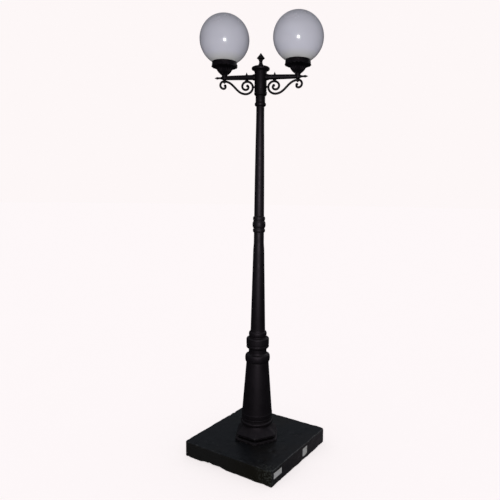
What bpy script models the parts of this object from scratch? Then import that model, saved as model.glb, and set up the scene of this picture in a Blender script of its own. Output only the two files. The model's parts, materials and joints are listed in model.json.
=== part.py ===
"""Two-globe street lamp post: a cast, sectional column on a square slab, with a swivelling head.

Metres, +Z up. The origin is the centre of the slab's underside, and the two arms lie along X.
The slab and the hexagonal foot are turned about Z against the arms.
"""

import math

import bmesh
import bpy
from mathutils import Matrix, Vector

# Clearances
GAP = 0.0003
SLIDE_FIT = 0.0006

# Slab, whose centre lies a little off the column's axis
SLAB_SIDE = 0.549
SLAB_LENGTH = 0.548
SLAB_OFFSET = (-0.004, 0.006)
SLAB_THICK = 0.080
SLAB_TURN = math.radians(-22.0)
SLAB_CORNER = 0.020
SLAB_SHARP_CORNER = 0.007
SLAB_EDGE = 0.006
DUCT_RADIUS = 0.022
FOOT_BOLT_CIRCLE = 0.085
FOOT_BOLT_COUNT = 3
FOOT_BOLT_RADIUS = 0.005
COUNTERBORE_RADIUS = 0.013
COUNTERBORE_DEPTH = 0.012

# Labels on the slab's side: along the side, height above the ground, width, height
LABEL_THICK = 0.0006
LABELS = {
    "label_blank_wide": (-0.215, 0.0515, 0.070, 0.029),
    "label_blank_tall": (0.052, 0.0425, 0.046, 0.046),
}

# Foot: half the width across the flats of the hexagon at each level
FOOT_BASE = SLAB_THICK + GAP
FOOT_TOP = 0.185
FLANGE_FLATS = 0.110
SKIRT_FLATS = 0.104
FOOT_WAIST = 0.076
FOOT_LIP = 0.087
SHAFT_BAND = 0.0815
FOOT_INNER = 0.0675
FOOT_THROAT = 0.060
TIE_STEP = 0.120

# Column sections: outer radii and the heights where one casting meets the next
WALL_LOWER = 0.005
WALL_UPPER = 0.0035
LOWER_TOP = 0.4955
COLLAR_TOP = 0.671
MIDDLE_TOP = 1.184
MID_COLLAR_TOP = 1.269
UPPER_TOP = 1.821
NECK_TOP = 1.873
SPIGOT_TOP = 1.911
CENTRING_LENGTH = 0.015

# Tie tube
TIE_RADIUS = 0.008
TIE_BORE = 0.006
TIE_BOTTOM = 0.098
TIE_TOP = 1.923

# Hub and cap
HUB_BASE = NECK_TOP + GAP
HUB_TOP = 1.990
HUB_RADIUS = 0.0308
HUB_INNER = 0.0235
SET_SCREW_HEIGHT = 1.891
SET_SCREW_ANGLES = (-90.0, 30.0, 150.0)
CAP_RADIUS = 0.0457
CAP_TOP = 2.0225
FINIAL_TIP = 2.0825

# Arms
ARM_HEIGHT = 1.9646
ARM_ROOT_RADIUS = 0.0128
ARM_END_RADIUS = 0.0106
ARM_FLANGE_RADIUS = 0.0155
ARM_BORE = 0.0065
ARM_SPIGOT_RADIUS = 0.0098
ARM_SPIGOT_START = 0.0185
ARM_END = 0.2020
ARM_TIP = 0.240
BOSS_RADIUS = 0.0125
BOSS_TOP = 1.9752
BOSS_BOTTOM = 1.9544
STUD_REACH = 0.072
STUD_RADIUS = 0.0022

# Scroll brackets: bar size, the two volutes and the S that joins them
SCROLL_BAR = 0.0056
SCROLL_BALL = 0.0072
VOLUTE_CENTRE = (0.073, 1.9190)
VOLUTE_SQUASH = 0.92
VOLUTE_START_DEG = 138.0
VOLUTE_END_DEG = 633.0
VOLUTE_START_RADIUS = 0.0072
VOLUTE_END_RADIUS = 0.0388
HOOK_CENTRE = (0.1915, 1.930)
HOOK_RADIUS = 0.018
HOOK_CURL_RADIUS = 0.0085
HOOK_CURL_START_DEG = -95.0
HOOK_CURL_END_DEG = -222.0
LINK_HANDLES = (0.053, 0.055)
NUT_SEAT = 1.9432

# Lamps
CUP_REACH = 0.188
CUP_BASE = BOSS_TOP + GAP
CUP_LEDGE = 2.0214
CUP_RIM_TOP = 2.0435
CUP_RIM_RADIUS = 0.0628
CUP_RIM_INNER = 0.0612
GLOBE_RADIUS = 0.125
GLOBE_WALL = 0.0025
GLOBE_CENTRE_Z = 2.1524
GLOBE_NECK_RADIUS = 0.0575
GLOBE_NECK_BOTTOM = 2.025
HOLDER_BASE = 1.984
HOLDER_TOP = 2.032
HOLDER_RADIUS = 0.0195
SOCKET_RADIUS = 0.0140
SOCKET_FLOOR = 2.006
LAMP_CAP_RADIUS = 0.0132
LAMP_CAP_TOP = 2.034
LAMP_RADIUS = 0.030
LAMP_CENTRE_Z = 2.084
LEAD_RADIUS = 0.0016
LEAD_OFFSET = 0.0043
THUMB_SCREW_HEIGHT = 2.034
THUMB_SCREW_ANGLES = (-80.0, 40.0, 160.0)

# Mesh resolution
COLUMN_SEGMENTS = 20
GLOBE_SEGMENTS = 24
FOOT_SEGMENTS = 24
SMALL_SEGMENTS = 12
LAMP_SEGMENTS = 14
SCREW_SEGMENTS = 8
SMOOTH_ANGLE = math.radians(35.0)
# Turns a drill's facets away from those of the piece that it cuts
OFF_FACET = math.radians(7.0)

SIDES = {"left": -1, "right": 1}


def clear_scene():
    """Remove whatever the file holds."""
    for thing in list(bpy.data.objects):
        bpy.data.objects.remove(thing)


def make_material(name, colour, roughness, metallic):
    """A Principled material of one colour."""
    material = bpy.data.materials.new(name)
    material.use_nodes = True
    shader = material.node_tree.nodes["Principled BSDF"]
    shader.inputs["Base Color"].default_value = (*colour, 1.0)
    shader.inputs["Roughness"].default_value = roughness
    shader.inputs["Metallic"].default_value = metallic
    return material


def add_object(name, shape, material, parent=None):
    """Turn a bmesh into a named object whose round faces are smooth and whose edges stay sharp."""
    bmesh.ops.recalc_face_normals(shape, faces=shape.faces)
    mesh = bpy.data.meshes.new(name)
    shape.to_mesh(mesh)
    shape.free()
    mesh.shade_smooth()
    mesh.set_sharp_from_angle(angle=SMOOTH_ANGLE)
    mesh.materials.append(material)
    thing = bpy.data.objects.new(name, mesh)
    bpy.context.collection.objects.link(thing)
    if parent:
        thing.parent = parent
    return thing


def add_pivot(name, location, parent=None):
    """An empty on a joint's axis, for the pieces that move about it."""
    pivot = bpy.data.objects.new(name, None)
    bpy.context.collection.objects.link(pivot)
    pivot.location = location
    pivot.parent = parent
    return pivot


def cut(thing, cutter, operation="DIFFERENCE"):
    """Cut a body with another, or join the other to it, and keep the other as a hidden guide."""
    modifier = thing.modifiers.new(f"{operation.lower()}_{cutter.name}", "BOOLEAN")
    modifier.operation = operation
    modifier.solver = "EXACT"
    modifier.object = cutter
    cutter.hide_render = True
    cutter.display_type = "WIRE"


def turned(profile, segments):
    """Turn (radius, height) points about Z. A profile that leaves the axis and comes back to it is
    an open line; any other is a closed loop, which makes a ring or a tube."""
    shape = bmesh.new()
    points = [shape.verts.new((radius, 0.0, height)) for radius, height in profile]
    pairs = list(zip(points, points[1:]))
    if profile[0][0] > 0.0 or profile[-1][0] > 0.0:
        pairs.append((points[-1], points[0]))
    edges = [shape.edges.new(pair) for pair in pairs]
    bmesh.ops.spin(
        shape,
        geom=points + edges,
        cent=(0, 0, 0),
        axis=(0, 0, 1),
        angle=math.tau,
        steps=segments,
        use_merge=True,
    )
    bmesh.ops.remove_doubles(shape, verts=shape.verts, dist=2e-6)
    return shape


def arc(centre, radius, start_deg, end_deg, steps):
    """Points on a circle from one angle to another, both ends included."""
    across, up = centre
    angles = [math.radians(start_deg + (end_deg - start_deg) * step / steps) for step in range(steps + 1)]
    return [(across + radius * math.cos(angle), up + radius * math.sin(angle)) for angle in angles]


def bead(radius, height, half_height, bulge, steps=3):
    """The outer half of a rounded ring, from bottom to top, standing out by bulge from radius."""
    angles = [math.pi * (step / steps - 0.5) for step in range(steps + 1)]
    return [(radius + bulge * math.cos(angle), height + half_height * math.sin(angle)) for angle in angles]


def box(size, centre):
    """A plain block."""
    shape = bmesh.new()
    bmesh.ops.create_cube(shape, size=1.0, matrix=Matrix.Translation(centre) @ Matrix.Diagonal((*size, 1.0)))
    return shape


def rod(radius, bottom, top, segments):
    """A plain round rod on Z."""
    return turned([(0.0, bottom), (radius, bottom), (radius, top), (0.0, top)], segments)


def tube(outer, inner, bottom, top, segments):
    """A plain tube on Z."""
    return turned([(outer, bottom), (outer, top), (inner, top), (inner, bottom)], segments)


def along_x(shape, side):
    """Lay a shape made on Z along the arm, so that its height becomes the reach from the post."""
    turn = Matrix.Rotation(side * math.pi / 2, 3, "Y")
    bmesh.ops.rotate(shape, verts=shape.verts, cent=(0, 0, 0), matrix=turn)
    return shape


def pointed_outward(shape, angle_deg):
    """Lay a shape made on Z so that it points away from the Z axis at an angle."""
    lay = Matrix.Rotation(math.radians(angle_deg), 3, "Z") @ Matrix.Rotation(math.pi / 2, 3, "Y")
    bmesh.ops.rotate(shape, verts=shape.verts, cent=(0, 0, 0), matrix=lay)
    return shape


def smooth_route(points, steps):
    """A Catmull-Rom curve through the points."""
    ends = [points[0]] + list(points) + [points[-1]]
    route = []
    for before, start, end, after in zip(ends, ends[1:], ends[2:], ends[3:]):
        for step in range(steps):
            t = step / steps
            route.append(
                0.5 * (2 * start + (end - before) * t + (2 * before - 5 * start + 4 * end - after) * t**2
                       + (3 * start - before - 3 * end + after) * t**3)
            )
    route.append(points[-1])
    return route


# Slab and what is in it


def slab_bolt_place(index):
    """Where a foot bolt stands, in the slab's own frame."""
    angle = math.radians(90.0 + 360.0 * index / FOOT_BOLT_COUNT)
    return Vector((FOOT_BOLT_CIRCLE * math.cos(angle), FOOT_BOLT_CIRCLE * math.sin(angle), 0.0))


def is_slab_corner(edge, sharp):
    """True for the box's upright edges: for the one at +X and -Y if sharp is set, and else for the rest."""
    first, second = (vertex.co for vertex in edge.verts)
    upright = abs(first.z - second.z) > SLAB_THICK / 2
    across = abs(first.x - SLAB_OFFSET[0])
    along = abs(first.y - SLAB_OFFSET[1])
    at_full_corner = abs(across - SLAB_SIDE / 2) < 1e-6 and abs(along - SLAB_LENGTH / 2) < 1e-6
    return upright and at_full_corner and (first.x > 0.0 > first.y) == sharp


def make_slab(concrete, turned_slab):
    """A nearly square slab, one corner sharper than the others, with a duct and three counterbored holes."""
    shape = box((SLAB_SIDE, SLAB_LENGTH, SLAB_THICK), (*SLAB_OFFSET, SLAB_THICK / 2))
    for sharp, radius in ((False, SLAB_CORNER), (True, SLAB_SHARP_CORNER)):
        corners = [edge for edge in shape.edges if is_slab_corner(edge, sharp)]
        bmesh.ops.bevel(shape, geom=corners, offset=radius, segments=3, profile=0.5, affect="EDGES")
    rims = [edge for edge in shape.edges if abs(edge.verts[0].co.z - edge.verts[1].co.z) < SLAB_THICK / 2]
    bmesh.ops.bevel(shape, geom=rims, offset=SLAB_EDGE, segments=2, profile=0.5, affect="EDGES")
    slab = add_object("base_slab", shape, concrete, turned_slab)
    below = -SLAB_THICK
    above = 2 * SLAB_THICK
    cut(slab, add_object("cut_duct", rod(DUCT_RADIUS, below, above, SMALL_SEGMENTS), concrete, turned_slab))
    for index in range(FOOT_BOLT_COUNT):
        through = FOOT_BOLT_RADIUS + SLIDE_FIT
        wide_part = [(0.0, below), (COUNTERBORE_RADIUS, below), (COUNTERBORE_RADIUS, COUNTERBORE_DEPTH)]
        narrow_part = [(through, COUNTERBORE_DEPTH), (through, above), (0.0, above)]
        hole = turned(wide_part + narrow_part, SMALL_SEGMENTS)
        cutter = add_object(f"cut_bolt_{index + 1}", hole, concrete, turned_slab)
        cutter.location = slab_bolt_place(index)
        cut(slab, cutter)


def make_labels(paper, turned_slab):
    """Two blank stickers on one side of the slab, the side that faces +X before the slab is turned."""
    face = SLAB_OFFSET[0] + SLAB_SIDE / 2 + GAP + LABEL_THICK / 2
    for name, (along, height, wide, tall) in LABELS.items():
        add_object(name, box((LABEL_THICK, wide, tall), (face, along, height)), paper, turned_slab)


def make_foot_bolts(steel, turned_slab):
    """Hexagon bolts that come up through the slab into the foot."""
    seat = COUNTERBORE_DEPTH - GAP
    head = 0.0085
    head_bottom = 0.0045
    top = FOOT_BASE + 0.024
    for index in range(FOOT_BOLT_COUNT):
        shank = [(FOOT_BOLT_RADIUS, seat), (FOOT_BOLT_RADIUS, top), (0.0, top)]
        shape = turned([(0.0, head_bottom), (head, head_bottom), (head, seat)] + shank, 6)
        bolt = add_object(f"foot_bolt_{index + 1}", shape, steel, turned_slab)
        bolt.location = slab_bolt_place(index)


def make_grommet(rubber, turned_slab):
    """The rubber bush that lines the mouth of the duct under the foot."""
    flange = DUCT_RADIUS + 0.006
    body = DUCT_RADIUS - GAP
    bore = 0.013
    bottom = SLAB_THICK - 0.015
    top = FOOT_BASE + 0.004
    profile = [(body, bottom), (body, FOOT_BASE), (flange, FOOT_BASE), (flange, top)]
    profile += [(bore, top), (bore, bottom)]
    add_object("cable_grommet", turned(profile, SMALL_SEGMENTS), rubber, turned_slab)


# Foot and column


def foot_ring(shape, flats, roundness, height, count):
    """A ring of vertices that runs from a hexagon (roundness 0) to a circle of the same flats (1)."""
    ring = []
    for index in range(count):
        angle = math.tau * index / count
        to_flat = (math.degrees(angle) % 60.0) - 30.0
        hexagon = flats / math.cos(math.radians(to_flat))
        radius = hexagon + (flats - hexagon) * roundness
        ring.append(shape.verts.new((radius * math.cos(angle), radius * math.sin(angle), height)))
    return ring


def make_foot(iron, turned_slab):
    """The hexagonal foot: a flange, a concave skirt that turns round, a waist and a lip, and inside
    it a step for the tie plate and a collar that centres the column."""
    lip_height = 0.170
    levels = [
        (FLANGE_FLATS, 0.0, FOOT_BASE),
        (FLANGE_FLATS, 0.0, FOOT_BASE + 0.009),
        (FLANGE_FLATS - 0.003, 0.0, FOOT_BASE + 0.012),
        (SKIRT_FLATS - 0.007, 0.0, FOOT_BASE + 0.0125),
        (SKIRT_FLATS - 0.007, 0.0, FOOT_BASE + 0.020),
        (SKIRT_FLATS, 0.0, FOOT_BASE + 0.024),
        (SKIRT_FLATS, 0.0, FOOT_BASE + 0.034),
    ]
    skirt_start = FOOT_BASE + 0.034
    skirt_end = 0.153
    skirt_steps = 3
    for step in range(1, skirt_steps + 1):
        t = step / skirt_steps
        flats = FOOT_WAIST + (SKIRT_FLATS - FOOT_WAIST) * (1.0 - t) ** 1.35
        levels.append((flats, t, skirt_start + (skirt_end - skirt_start) * t))
    waist = [(FOOT_WAIST, 0.159)]
    lip = bead(FOOT_LIP - 0.006, lip_height, 0.008, 0.006)
    seat = [(SHAFT_BAND, FOOT_TOP - GAP)]
    column_inner = SHAFT_BAND - WALL_LOWER
    collar_radius = column_inner - SLIDE_FIT - 0.002
    collar_top = FOOT_TOP + CENTRING_LENGTH
    collar = [(collar_radius, FOOT_TOP - GAP), (collar_radius, collar_top), (FOOT_THROAT, collar_top)]
    inside = [(FOOT_THROAT, TIE_STEP), (FOOT_INNER, TIE_STEP), (FOOT_INNER, FOOT_BASE)]
    levels += [(radius, 1.0, height) for radius, height in waist + lip + seat + collar + inside]
    shape = bmesh.new()
    rings = [foot_ring(shape, *level, FOOT_SEGMENTS) for level in levels]
    for lower, upper in zip(rings, rings[1:] + rings[:1]):
        for index in range(len(lower)):
            after = (index + 1) % len(lower)
            shape.faces.new((lower[index], lower[after], upper[after], upper[index]))
    foot = add_object("post_foot", shape, iron, turned_slab)
    top = FOOT_BASE + 0.025
    for index in range(FOOT_BOLT_COUNT):
        hole = rod(FOOT_BOLT_RADIUS + SLIDE_FIT, FOOT_BASE - 0.01, top, SMALL_SEGMENTS)
        cutter = add_object(f"cut_thread_{index + 1}", hole, iron, turned_slab)
        cutter.location = slab_bolt_place(index)
        cut(foot, cutter)


def make_lower_shaft(iron):
    """The tapered first length of the column, with a plain band at its base."""
    base = FOOT_TOP + GAP
    top = LOWER_TOP
    outer = [(SHAFT_BAND, base), (SHAFT_BAND, 0.219), (0.0800, 0.221), (0.0591, top)]
    inner = [(radius - WALL_LOWER, height) for radius, height in reversed(outer)]
    add_object("lower_shaft", turned(outer + inner, COLUMN_SEGMENTS), iron)


def make_lower_collar(iron):
    """The heavy moulded collar between the lower and the middle shaft."""
    base = LOWER_TOP + GAP
    top = COLLAR_TOP
    spigot_below = 0.0591 - WALL_LOWER - SLIDE_FIT - 0.001
    spigot_above = 0.0386 - WALL_LOWER - SLIDE_FIT
    bore = 0.027
    outer = [(spigot_below, base - CENTRING_LENGTH), (spigot_below, base), (0.0600, base)]
    outer += bead(0.0600, 0.517, 0.0195, 0.0060, 4)[1:]
    outer += [(0.0480, 0.5405), (0.0475, 0.568), (0.0570, 0.572)]
    outer += [(0.0600, 0.576), (0.0600, 0.583), (0.0585, 0.587), (0.0600, 0.592)]
    outer += [(0.0600, 0.622), (0.0570, 0.626)]
    outer += [(0.0435, 0.628), (0.0435, 0.634)]
    outer += bead(0.0440, 0.6465, 0.0115, 0.0035)[1:]
    outer += [(0.0390, 0.662), (0.0390, top), (spigot_above, top), (spigot_above, top + CENTRING_LENGTH)]
    inner = [(bore, top + CENTRING_LENGTH), (bore, base - CENTRING_LENGTH)]
    add_object("lower_collar", turned(outer + inner, COLUMN_SEGMENTS), iron)


def make_middle_shaft(iron):
    """The long tapered middle length, which steps in to a neck under the middle collar."""
    base = COLLAR_TOP + GAP
    outer = [(0.0386, base), (0.0338, 0.877), (0.0301, 1.036)]
    outer += [(0.0290, 1.096), (0.0262, 1.124), (0.0262, MIDDLE_TOP)]
    bore = 0.0262 - WALL_UPPER
    inner = [(bore, MIDDLE_TOP), (bore, 1.124), (0.0386 - WALL_LOWER, base)]
    add_object("middle_shaft", turned(outer + inner, COLUMN_SEGMENTS), iron)


def make_mid_collar(iron):
    """The small three-ring collar that joins the middle and the upper shaft."""
    base = MIDDLE_TOP + GAP
    top = MID_COLLAR_TOP
    spigot_below = 0.0262 - WALL_UPPER - SLIDE_FIT
    spigot_above = 0.0257 - WALL_UPPER - SLIDE_FIT
    bore = 0.0175
    outer = [(spigot_below, base - CENTRING_LENGTH), (spigot_below, base), (0.0292, base)]
    outer += bead(0.0292, 1.1945, 0.0080, 0.0026)[1:]
    outer += bead(0.0295, 1.225, 0.0170, 0.0044, 4)
    outer += bead(0.0295, 1.256, 0.0090, 0.0020)
    outer += [(0.0257, top - 0.002), (0.0257, top)]
    outer += [(spigot_above, top), (spigot_above, top + CENTRING_LENGTH)]
    inner = [(bore, top + CENTRING_LENGTH), (bore, base - CENTRING_LENGTH)]
    add_object("mid_collar", turned(outer + inner, COLUMN_SEGMENTS), iron)


def make_upper_shaft(iron):
    """The slim upper length of the column."""
    base = MID_COLLAR_TOP + GAP
    outer = [(0.0257, base), (0.0245, 1.451), (0.0228, 1.603), (0.0206, 1.752), (0.0204, UPPER_TOP)]
    inner = [(radius - WALL_UPPER, height) for radius, height in reversed(outer)]
    add_object("upper_shaft", turned(outer + inner, COLUMN_SEGMENTS), iron)


def make_head_spigot(iron):
    """The ring and neck on top of the column, with the round spigot that the hub turns on."""
    base = UPPER_TOP + GAP
    spigot_below = 0.0204 - WALL_UPPER - SLIDE_FIT
    bore = 0.0105
    spigot = HUB_INNER - 0.0008
    outer = [(spigot_below, base - CENTRING_LENGTH), (spigot_below, base), (0.0225, base)]
    outer += bead(0.0225, 1.8315, 0.0100, 0.0061, 4)[1:]
    outer += [(0.0243, 1.846), (0.0243, NECK_TOP), (spigot, NECK_TOP), (spigot, SPIGOT_TOP)]
    hole = TIE_RADIUS + SLIDE_FIT
    shelf = SPIGOT_TOP - 0.008
    inner = [(hole, SPIGOT_TOP), (hole, shelf), (bore, shelf), (bore, base - CENTRING_LENGTH)]
    add_object("head_spigot", turned(outer + inner, COLUMN_SEGMENTS), iron)


def make_tie(steel):
    """The tube that clamps the column's sections together, with its plate and its two nuts."""
    add_object("tie_tube", tube(TIE_RADIUS, TIE_BORE, TIE_BOTTOM, TIE_TOP, SMALL_SEGMENTS), steel)
    hole = TIE_RADIUS + GAP
    plate_top = TIE_STEP - GAP
    plate_bottom = plate_top - 0.005
    plate = tube(FOOT_INNER - SLIDE_FIT - 0.001, hole, plate_bottom, plate_top, COLUMN_SEGMENTS)
    add_object("tie_plate", plate, steel)
    nut = 0.0140
    nut_height = 0.009
    nut_top = plate_bottom - GAP
    for name, bottom in (("tie_nut_lower", nut_top - nut_height), ("tie_nut_upper", SPIGOT_TOP + GAP)):
        shape = tube(nut, nut * math.cos(math.pi / 6) - 0.003, bottom, bottom + nut_height, 6)
        thing = add_object(name, shape, steel)
        hole_shape = rod(hole, bottom - 0.01, bottom + 0.02, SMALL_SEGMENTS)
        hole_cutter = add_object(f"cut_{name}", hole_shape, steel)
        cut(thing, hole_cutter)


# Head: hub, arms and brackets


def make_hub(iron, head):
    """The hollow hub that sits on the spigot and holds both arms."""
    ledge = 0.0320
    outer = [(0.0262, HUB_BASE), (0.0300, HUB_BASE + 0.004)]
    outer += [(ledge, HUB_BASE + 0.008), (ledge, HUB_BASE + 0.011)]
    outer += [(HUB_RADIUS, HUB_BASE + 0.013), (HUB_RADIUS, HUB_TOP)]
    inner = [(HUB_INNER, HUB_TOP), (HUB_INNER, HUB_BASE)]
    hub = add_object("hub", turned(outer + inner, COLUMN_SEGMENTS), iron, head)
    bore = rod(ARM_SPIGOT_RADIUS + GAP, -0.05, 0.05, SMALL_SEGMENTS)
    cutter = add_object("cut_arm_holes", along_x(bore, 1), iron, head)
    cutter.location.z = ARM_HEIGHT
    cut(hub, cutter)
    for index, angle in enumerate(SET_SCREW_ANGLES):
        hole = pointed_outward(rod(0.0030 + GAP, 0.015, 0.05, SCREW_SEGMENTS), angle)
        cutter = add_object(f"cut_set_screw_{index + 1}", hole, iron, head)
        cutter.location.z = SET_SCREW_HEIGHT
        cut(hub, cutter)


def make_set_screws(iron, head):
    """Three small screws that fix the hub on the spigot."""
    inner_end = HUB_INNER + GAP
    head_start = HUB_RADIUS + GAP
    head_end = HUB_RADIUS + 0.0035
    profile = [(0.0, inner_end), (0.0030, inner_end), (0.0030, head_start), (0.0042, head_start),
               (0.0042, head_end - 0.001), (0.0032, head_end), (0.0, head_end)]
    for index, angle in enumerate(SET_SCREW_ANGLES):
        screw = add_object(
            f"hub_set_screw_{index + 1}", pointed_outward(turned(profile, SCREW_SEGMENTS), angle), iron, head
        )
        screw.location.z = SET_SCREW_HEIGHT


def make_terminal_block(plastic, head):
    """The three-way connector against the back wall of the hub."""
    shape = box((0.020, 0.0135, 0.016), (0, 0.01275, 1.939))
    bmesh.ops.bevel(shape, geom=shape.edges[:], offset=0.001, segments=1, affect="EDGES")
    add_object("terminal_block", shape, plastic, head)


def make_arm(side_name, side, iron, head):
    """A tapered hollow arm: a flange saddled to the hub, a spigot through its wall, and at the end a
    boss for the cup."""
    saddle = HUB_RADIUS + GAP
    profile = [
        (0.0, 0.024),
        (ARM_FLANGE_RADIUS, 0.024),
        (ARM_FLANGE_RADIUS, 0.0365),
        (ARM_ROOT_RADIUS, 0.0385),
        (ARM_END_RADIUS, 0.176),
        (ARM_END_RADIUS, 0.1975),
        (0.0075, ARM_END),
        (0.0, ARM_END),
    ]
    name = f"arm_{side_name}"
    arm = add_object(name, along_x(turned(profile, SMALL_SEGMENTS), side), iron, head)
    arm.location.z = ARM_HEIGHT
    hub_space = add_object(f"cut_hub_space_{side_name}", rod(saddle, -0.03, 0.03, COLUMN_SEGMENTS), iron, arm)
    spigot = along_x(rod(ARM_SPIGOT_RADIUS, ARM_SPIGOT_START, 0.045, SMALL_SEGMENTS), side)
    spigot = add_object(f"join_spigot_{side_name}", spigot, iron, arm)
    boss = add_object(
        f"join_boss_{side_name}",
        rod(BOSS_RADIUS, BOSS_BOTTOM - ARM_HEIGHT, BOSS_TOP - ARM_HEIGHT, SMALL_SEGMENTS),
        iron,
        arm,
    )
    boss.location.x = side * CUP_REACH
    bore_end = 0.193
    tip_hole = 0.0030 + GAP
    beyond = ARM_END + 0.01
    bore = turned(
        [(0.0, 0.0), (ARM_BORE, 0.0), (ARM_BORE, bore_end)]
        + [(tip_hole, bore_end), (tip_hole, beyond), (0.0, beyond)],
        SMALL_SEGMENTS,
    )
    bore = add_object(f"cut_bore_{side_name}", along_x(bore, side), iron, arm)
    bore.rotation_euler.x = OFF_FACET
    nipple_drill = rod(0.0050 + GAP, 0.002, 0.03, SMALL_SEGMENTS)
    nipple_hole = add_object(f"cut_nipple_{side_name}", nipple_drill, iron, arm)
    nipple_hole.location.x = side * CUP_REACH
    nut_drill = rod(0.0022 + GAP, -0.03, -0.002, SCREW_SEGMENTS)
    nut_hole = add_object(f"cut_nut_stud_{side_name}", nut_drill, iron, arm)
    nut_hole.location.x = side * CUP_REACH
    stud_drill = rod(STUD_RADIUS + GAP, -0.03, 0.03, SCREW_SEGMENTS)
    stud_hole = add_object(f"cut_stud_{side_name}", stud_drill, iron, arm)
    stud_hole.location.x = side * STUD_REACH
    for hole in (nipple_hole, nut_hole, stud_hole):
        hole.rotation_euler.z = OFF_FACET
    cut(arm, hub_space)
    cut(arm, spigot, "UNION")
    cut(arm, boss, "UNION")
    for cutter in (bore, nipple_hole, nut_hole, stud_hole):
        cut(arm, cutter)


def make_arm_tip(side_name, side, iron, head):
    """The small spear that closes the end of the arm."""
    start = ARM_END + GAP
    profile = [
        (0.0, 0.1935),
        (0.0030, 0.1935),
        (0.0030, start),
        (0.0072, start),
        (0.0050, 0.2095),
        (0.0046, 0.219),
        (0.0062, 0.2245),
        (0.0058, 0.228),
        (0.0, ARM_TIP),
    ]
    tip = add_object(f"arm_tip_{side_name}", along_x(turned(profile, SCREW_SEGMENTS), side), iron, head)
    tip.location.z = ARM_HEIGHT


def volute_point(angle_deg):
    """A point on the inner volute, an Archimedean spiral squashed in height."""
    t = (angle_deg - VOLUTE_START_DEG) / (VOLUTE_END_DEG - VOLUTE_START_DEG)
    radius = VOLUTE_START_RADIUS + (VOLUTE_END_RADIUS - VOLUTE_START_RADIUS) * t
    angle = math.radians(angle_deg)
    return Vector((
        VOLUTE_CENTRE[0] + radius * math.cos(angle),
        VOLUTE_CENTRE[1] + VOLUTE_SQUASH * radius * math.sin(angle),
    ))


def scroll_path():
    """The centreline of a scroll bracket as (reach, height) points: volute, S and hook."""
    volute_steps = 20
    link_steps = 6
    volute = []
    for step in range(volute_steps + 1):
        turn = (VOLUTE_END_DEG - VOLUTE_START_DEG) * step / volute_steps
        volute.append(volute_point(VOLUTE_START_DEG + turn))
    start = volute[-1]
    end = Vector((HOOK_CENTRE[0], HOOK_CENTRE[1] + HOOK_RADIUS))
    start_handle = start + Vector((LINK_HANDLES[0], 0.0))
    end_handle = end - Vector((LINK_HANDLES[1], 0.0))
    link = []
    for step in range(1, link_steps):
        t = step / link_steps
        s = 1.0 - t
        link.append(s**3 * start + 3 * s**2 * t * start_handle + 3 * s * t**2 * end_handle + t**3 * end)
    hook = arc(HOOK_CENTRE, HOOK_RADIUS, 90.0, HOOK_CURL_START_DEG, 6)
    curl_angle = math.radians(HOOK_CURL_START_DEG)
    inward = HOOK_RADIUS - HOOK_CURL_RADIUS
    curl_across = HOOK_CENTRE[0] + inward * math.cos(curl_angle)
    curl_centre = (curl_across, HOOK_CENTRE[1] + inward * math.sin(curl_angle))
    curl = arc(curl_centre, HOOK_CURL_RADIUS, HOOK_CURL_START_DEG, HOOK_CURL_END_DEG, 5)
    return volute + link + [Vector(point) for point in hook + curl[1:]]


def bar_with_balls(path, bar, ball, sides, side):
    """A round bar along a path in the XZ plane, which swells to a ball at each end."""
    lengths = [0.0]
    for before, after in zip(path, path[1:]):
        lengths.append(lengths[-1] + (after - before).length)
    first_way = (path[1] - path[0]).normalized()
    last_way = (path[-1] - path[-2]).normalized()
    total = lengths[-1]
    caps = [0.999, 0.7, 0.35]
    stations = [(-ball * c, path[0] - first_way * ball * c) for c in caps]
    stations += list(zip(lengths, path))
    stations += [(total + ball * c, path[-1] + last_way * ball * c) for c in reversed(caps)]
    shape = bmesh.new()
    rings = []
    for index, (length, place) in enumerate(stations):
        ahead = stations[min(index + 1, len(stations) - 1)][1]
        behind = stations[max(index - 1, 0)][1]
        way = (ahead - behind).normalized()
        beyond_end = max(-length, length - total)
        from_ball = min(length, total - length) if 0.0 < length < total else beyond_end
        swell = math.sqrt(max(ball**2 - from_ball**2, 0.0))
        radius = max(bar, swell) if 0.0 <= length <= total else swell
        ring = []
        for corner in range(sides):
            angle = math.tau * (corner + 0.5) / sides
            across = radius * math.cos(angle)
            up = radius * math.sin(angle)
            ring.append(shape.verts.new((side * (place.x - way.y * across), up, place.y + way.x * across)))
        rings.append(ring)
    for lower, upper in zip(rings, rings[1:]):
        for corner in range(sides):
            after = (corner + 1) % sides
            shape.faces.new((lower[corner], lower[after], upper[after], upper[corner]))
    shape.faces.new(rings[0])
    shape.faces.new(rings[-1])
    return shape


def make_scroll(side_name, side, iron, head):
    """The S-shaped scroll bracket that hangs under the arm, with a stub that bears on the hub, drilled
    for the nut's stud."""
    shape = bar_with_balls(scroll_path(), SCROLL_BAR, SCROLL_BALL, 6, side)
    scroll = add_object(f"scroll_{side_name}", shape, iron, head)
    stub = along_x(rod(0.0050, HUB_RADIUS + 0.0005, VOLUTE_CENTRE[0] - 0.032, SCREW_SEGMENTS), side)
    stub = add_object(f"join_stub_{side_name}", stub, iron, head)
    stub.location.z = VOLUTE_CENTRE[1] - 0.002
    cut(scroll, stub, "UNION")
    hole = 0.0022 + GAP
    spot_face = 0.0062 + 2 * GAP
    drill = turned(
        [(0.0, NUT_SEAT - 0.006), (spot_face, NUT_SEAT - 0.006), (spot_face, NUT_SEAT + GAP),
         (hole, NUT_SEAT + GAP),
         (hole, NUT_SEAT + 0.017), (0.0, NUT_SEAT + 0.017)],
        SCREW_SEGMENTS,
    )
    hole = add_object(f"cut_scroll_{side_name}", drill, iron, head)
    hole.location.x = side * CUP_REACH
    hole.rotation_euler.z = OFF_FACET
    cut(scroll, hole)


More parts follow.
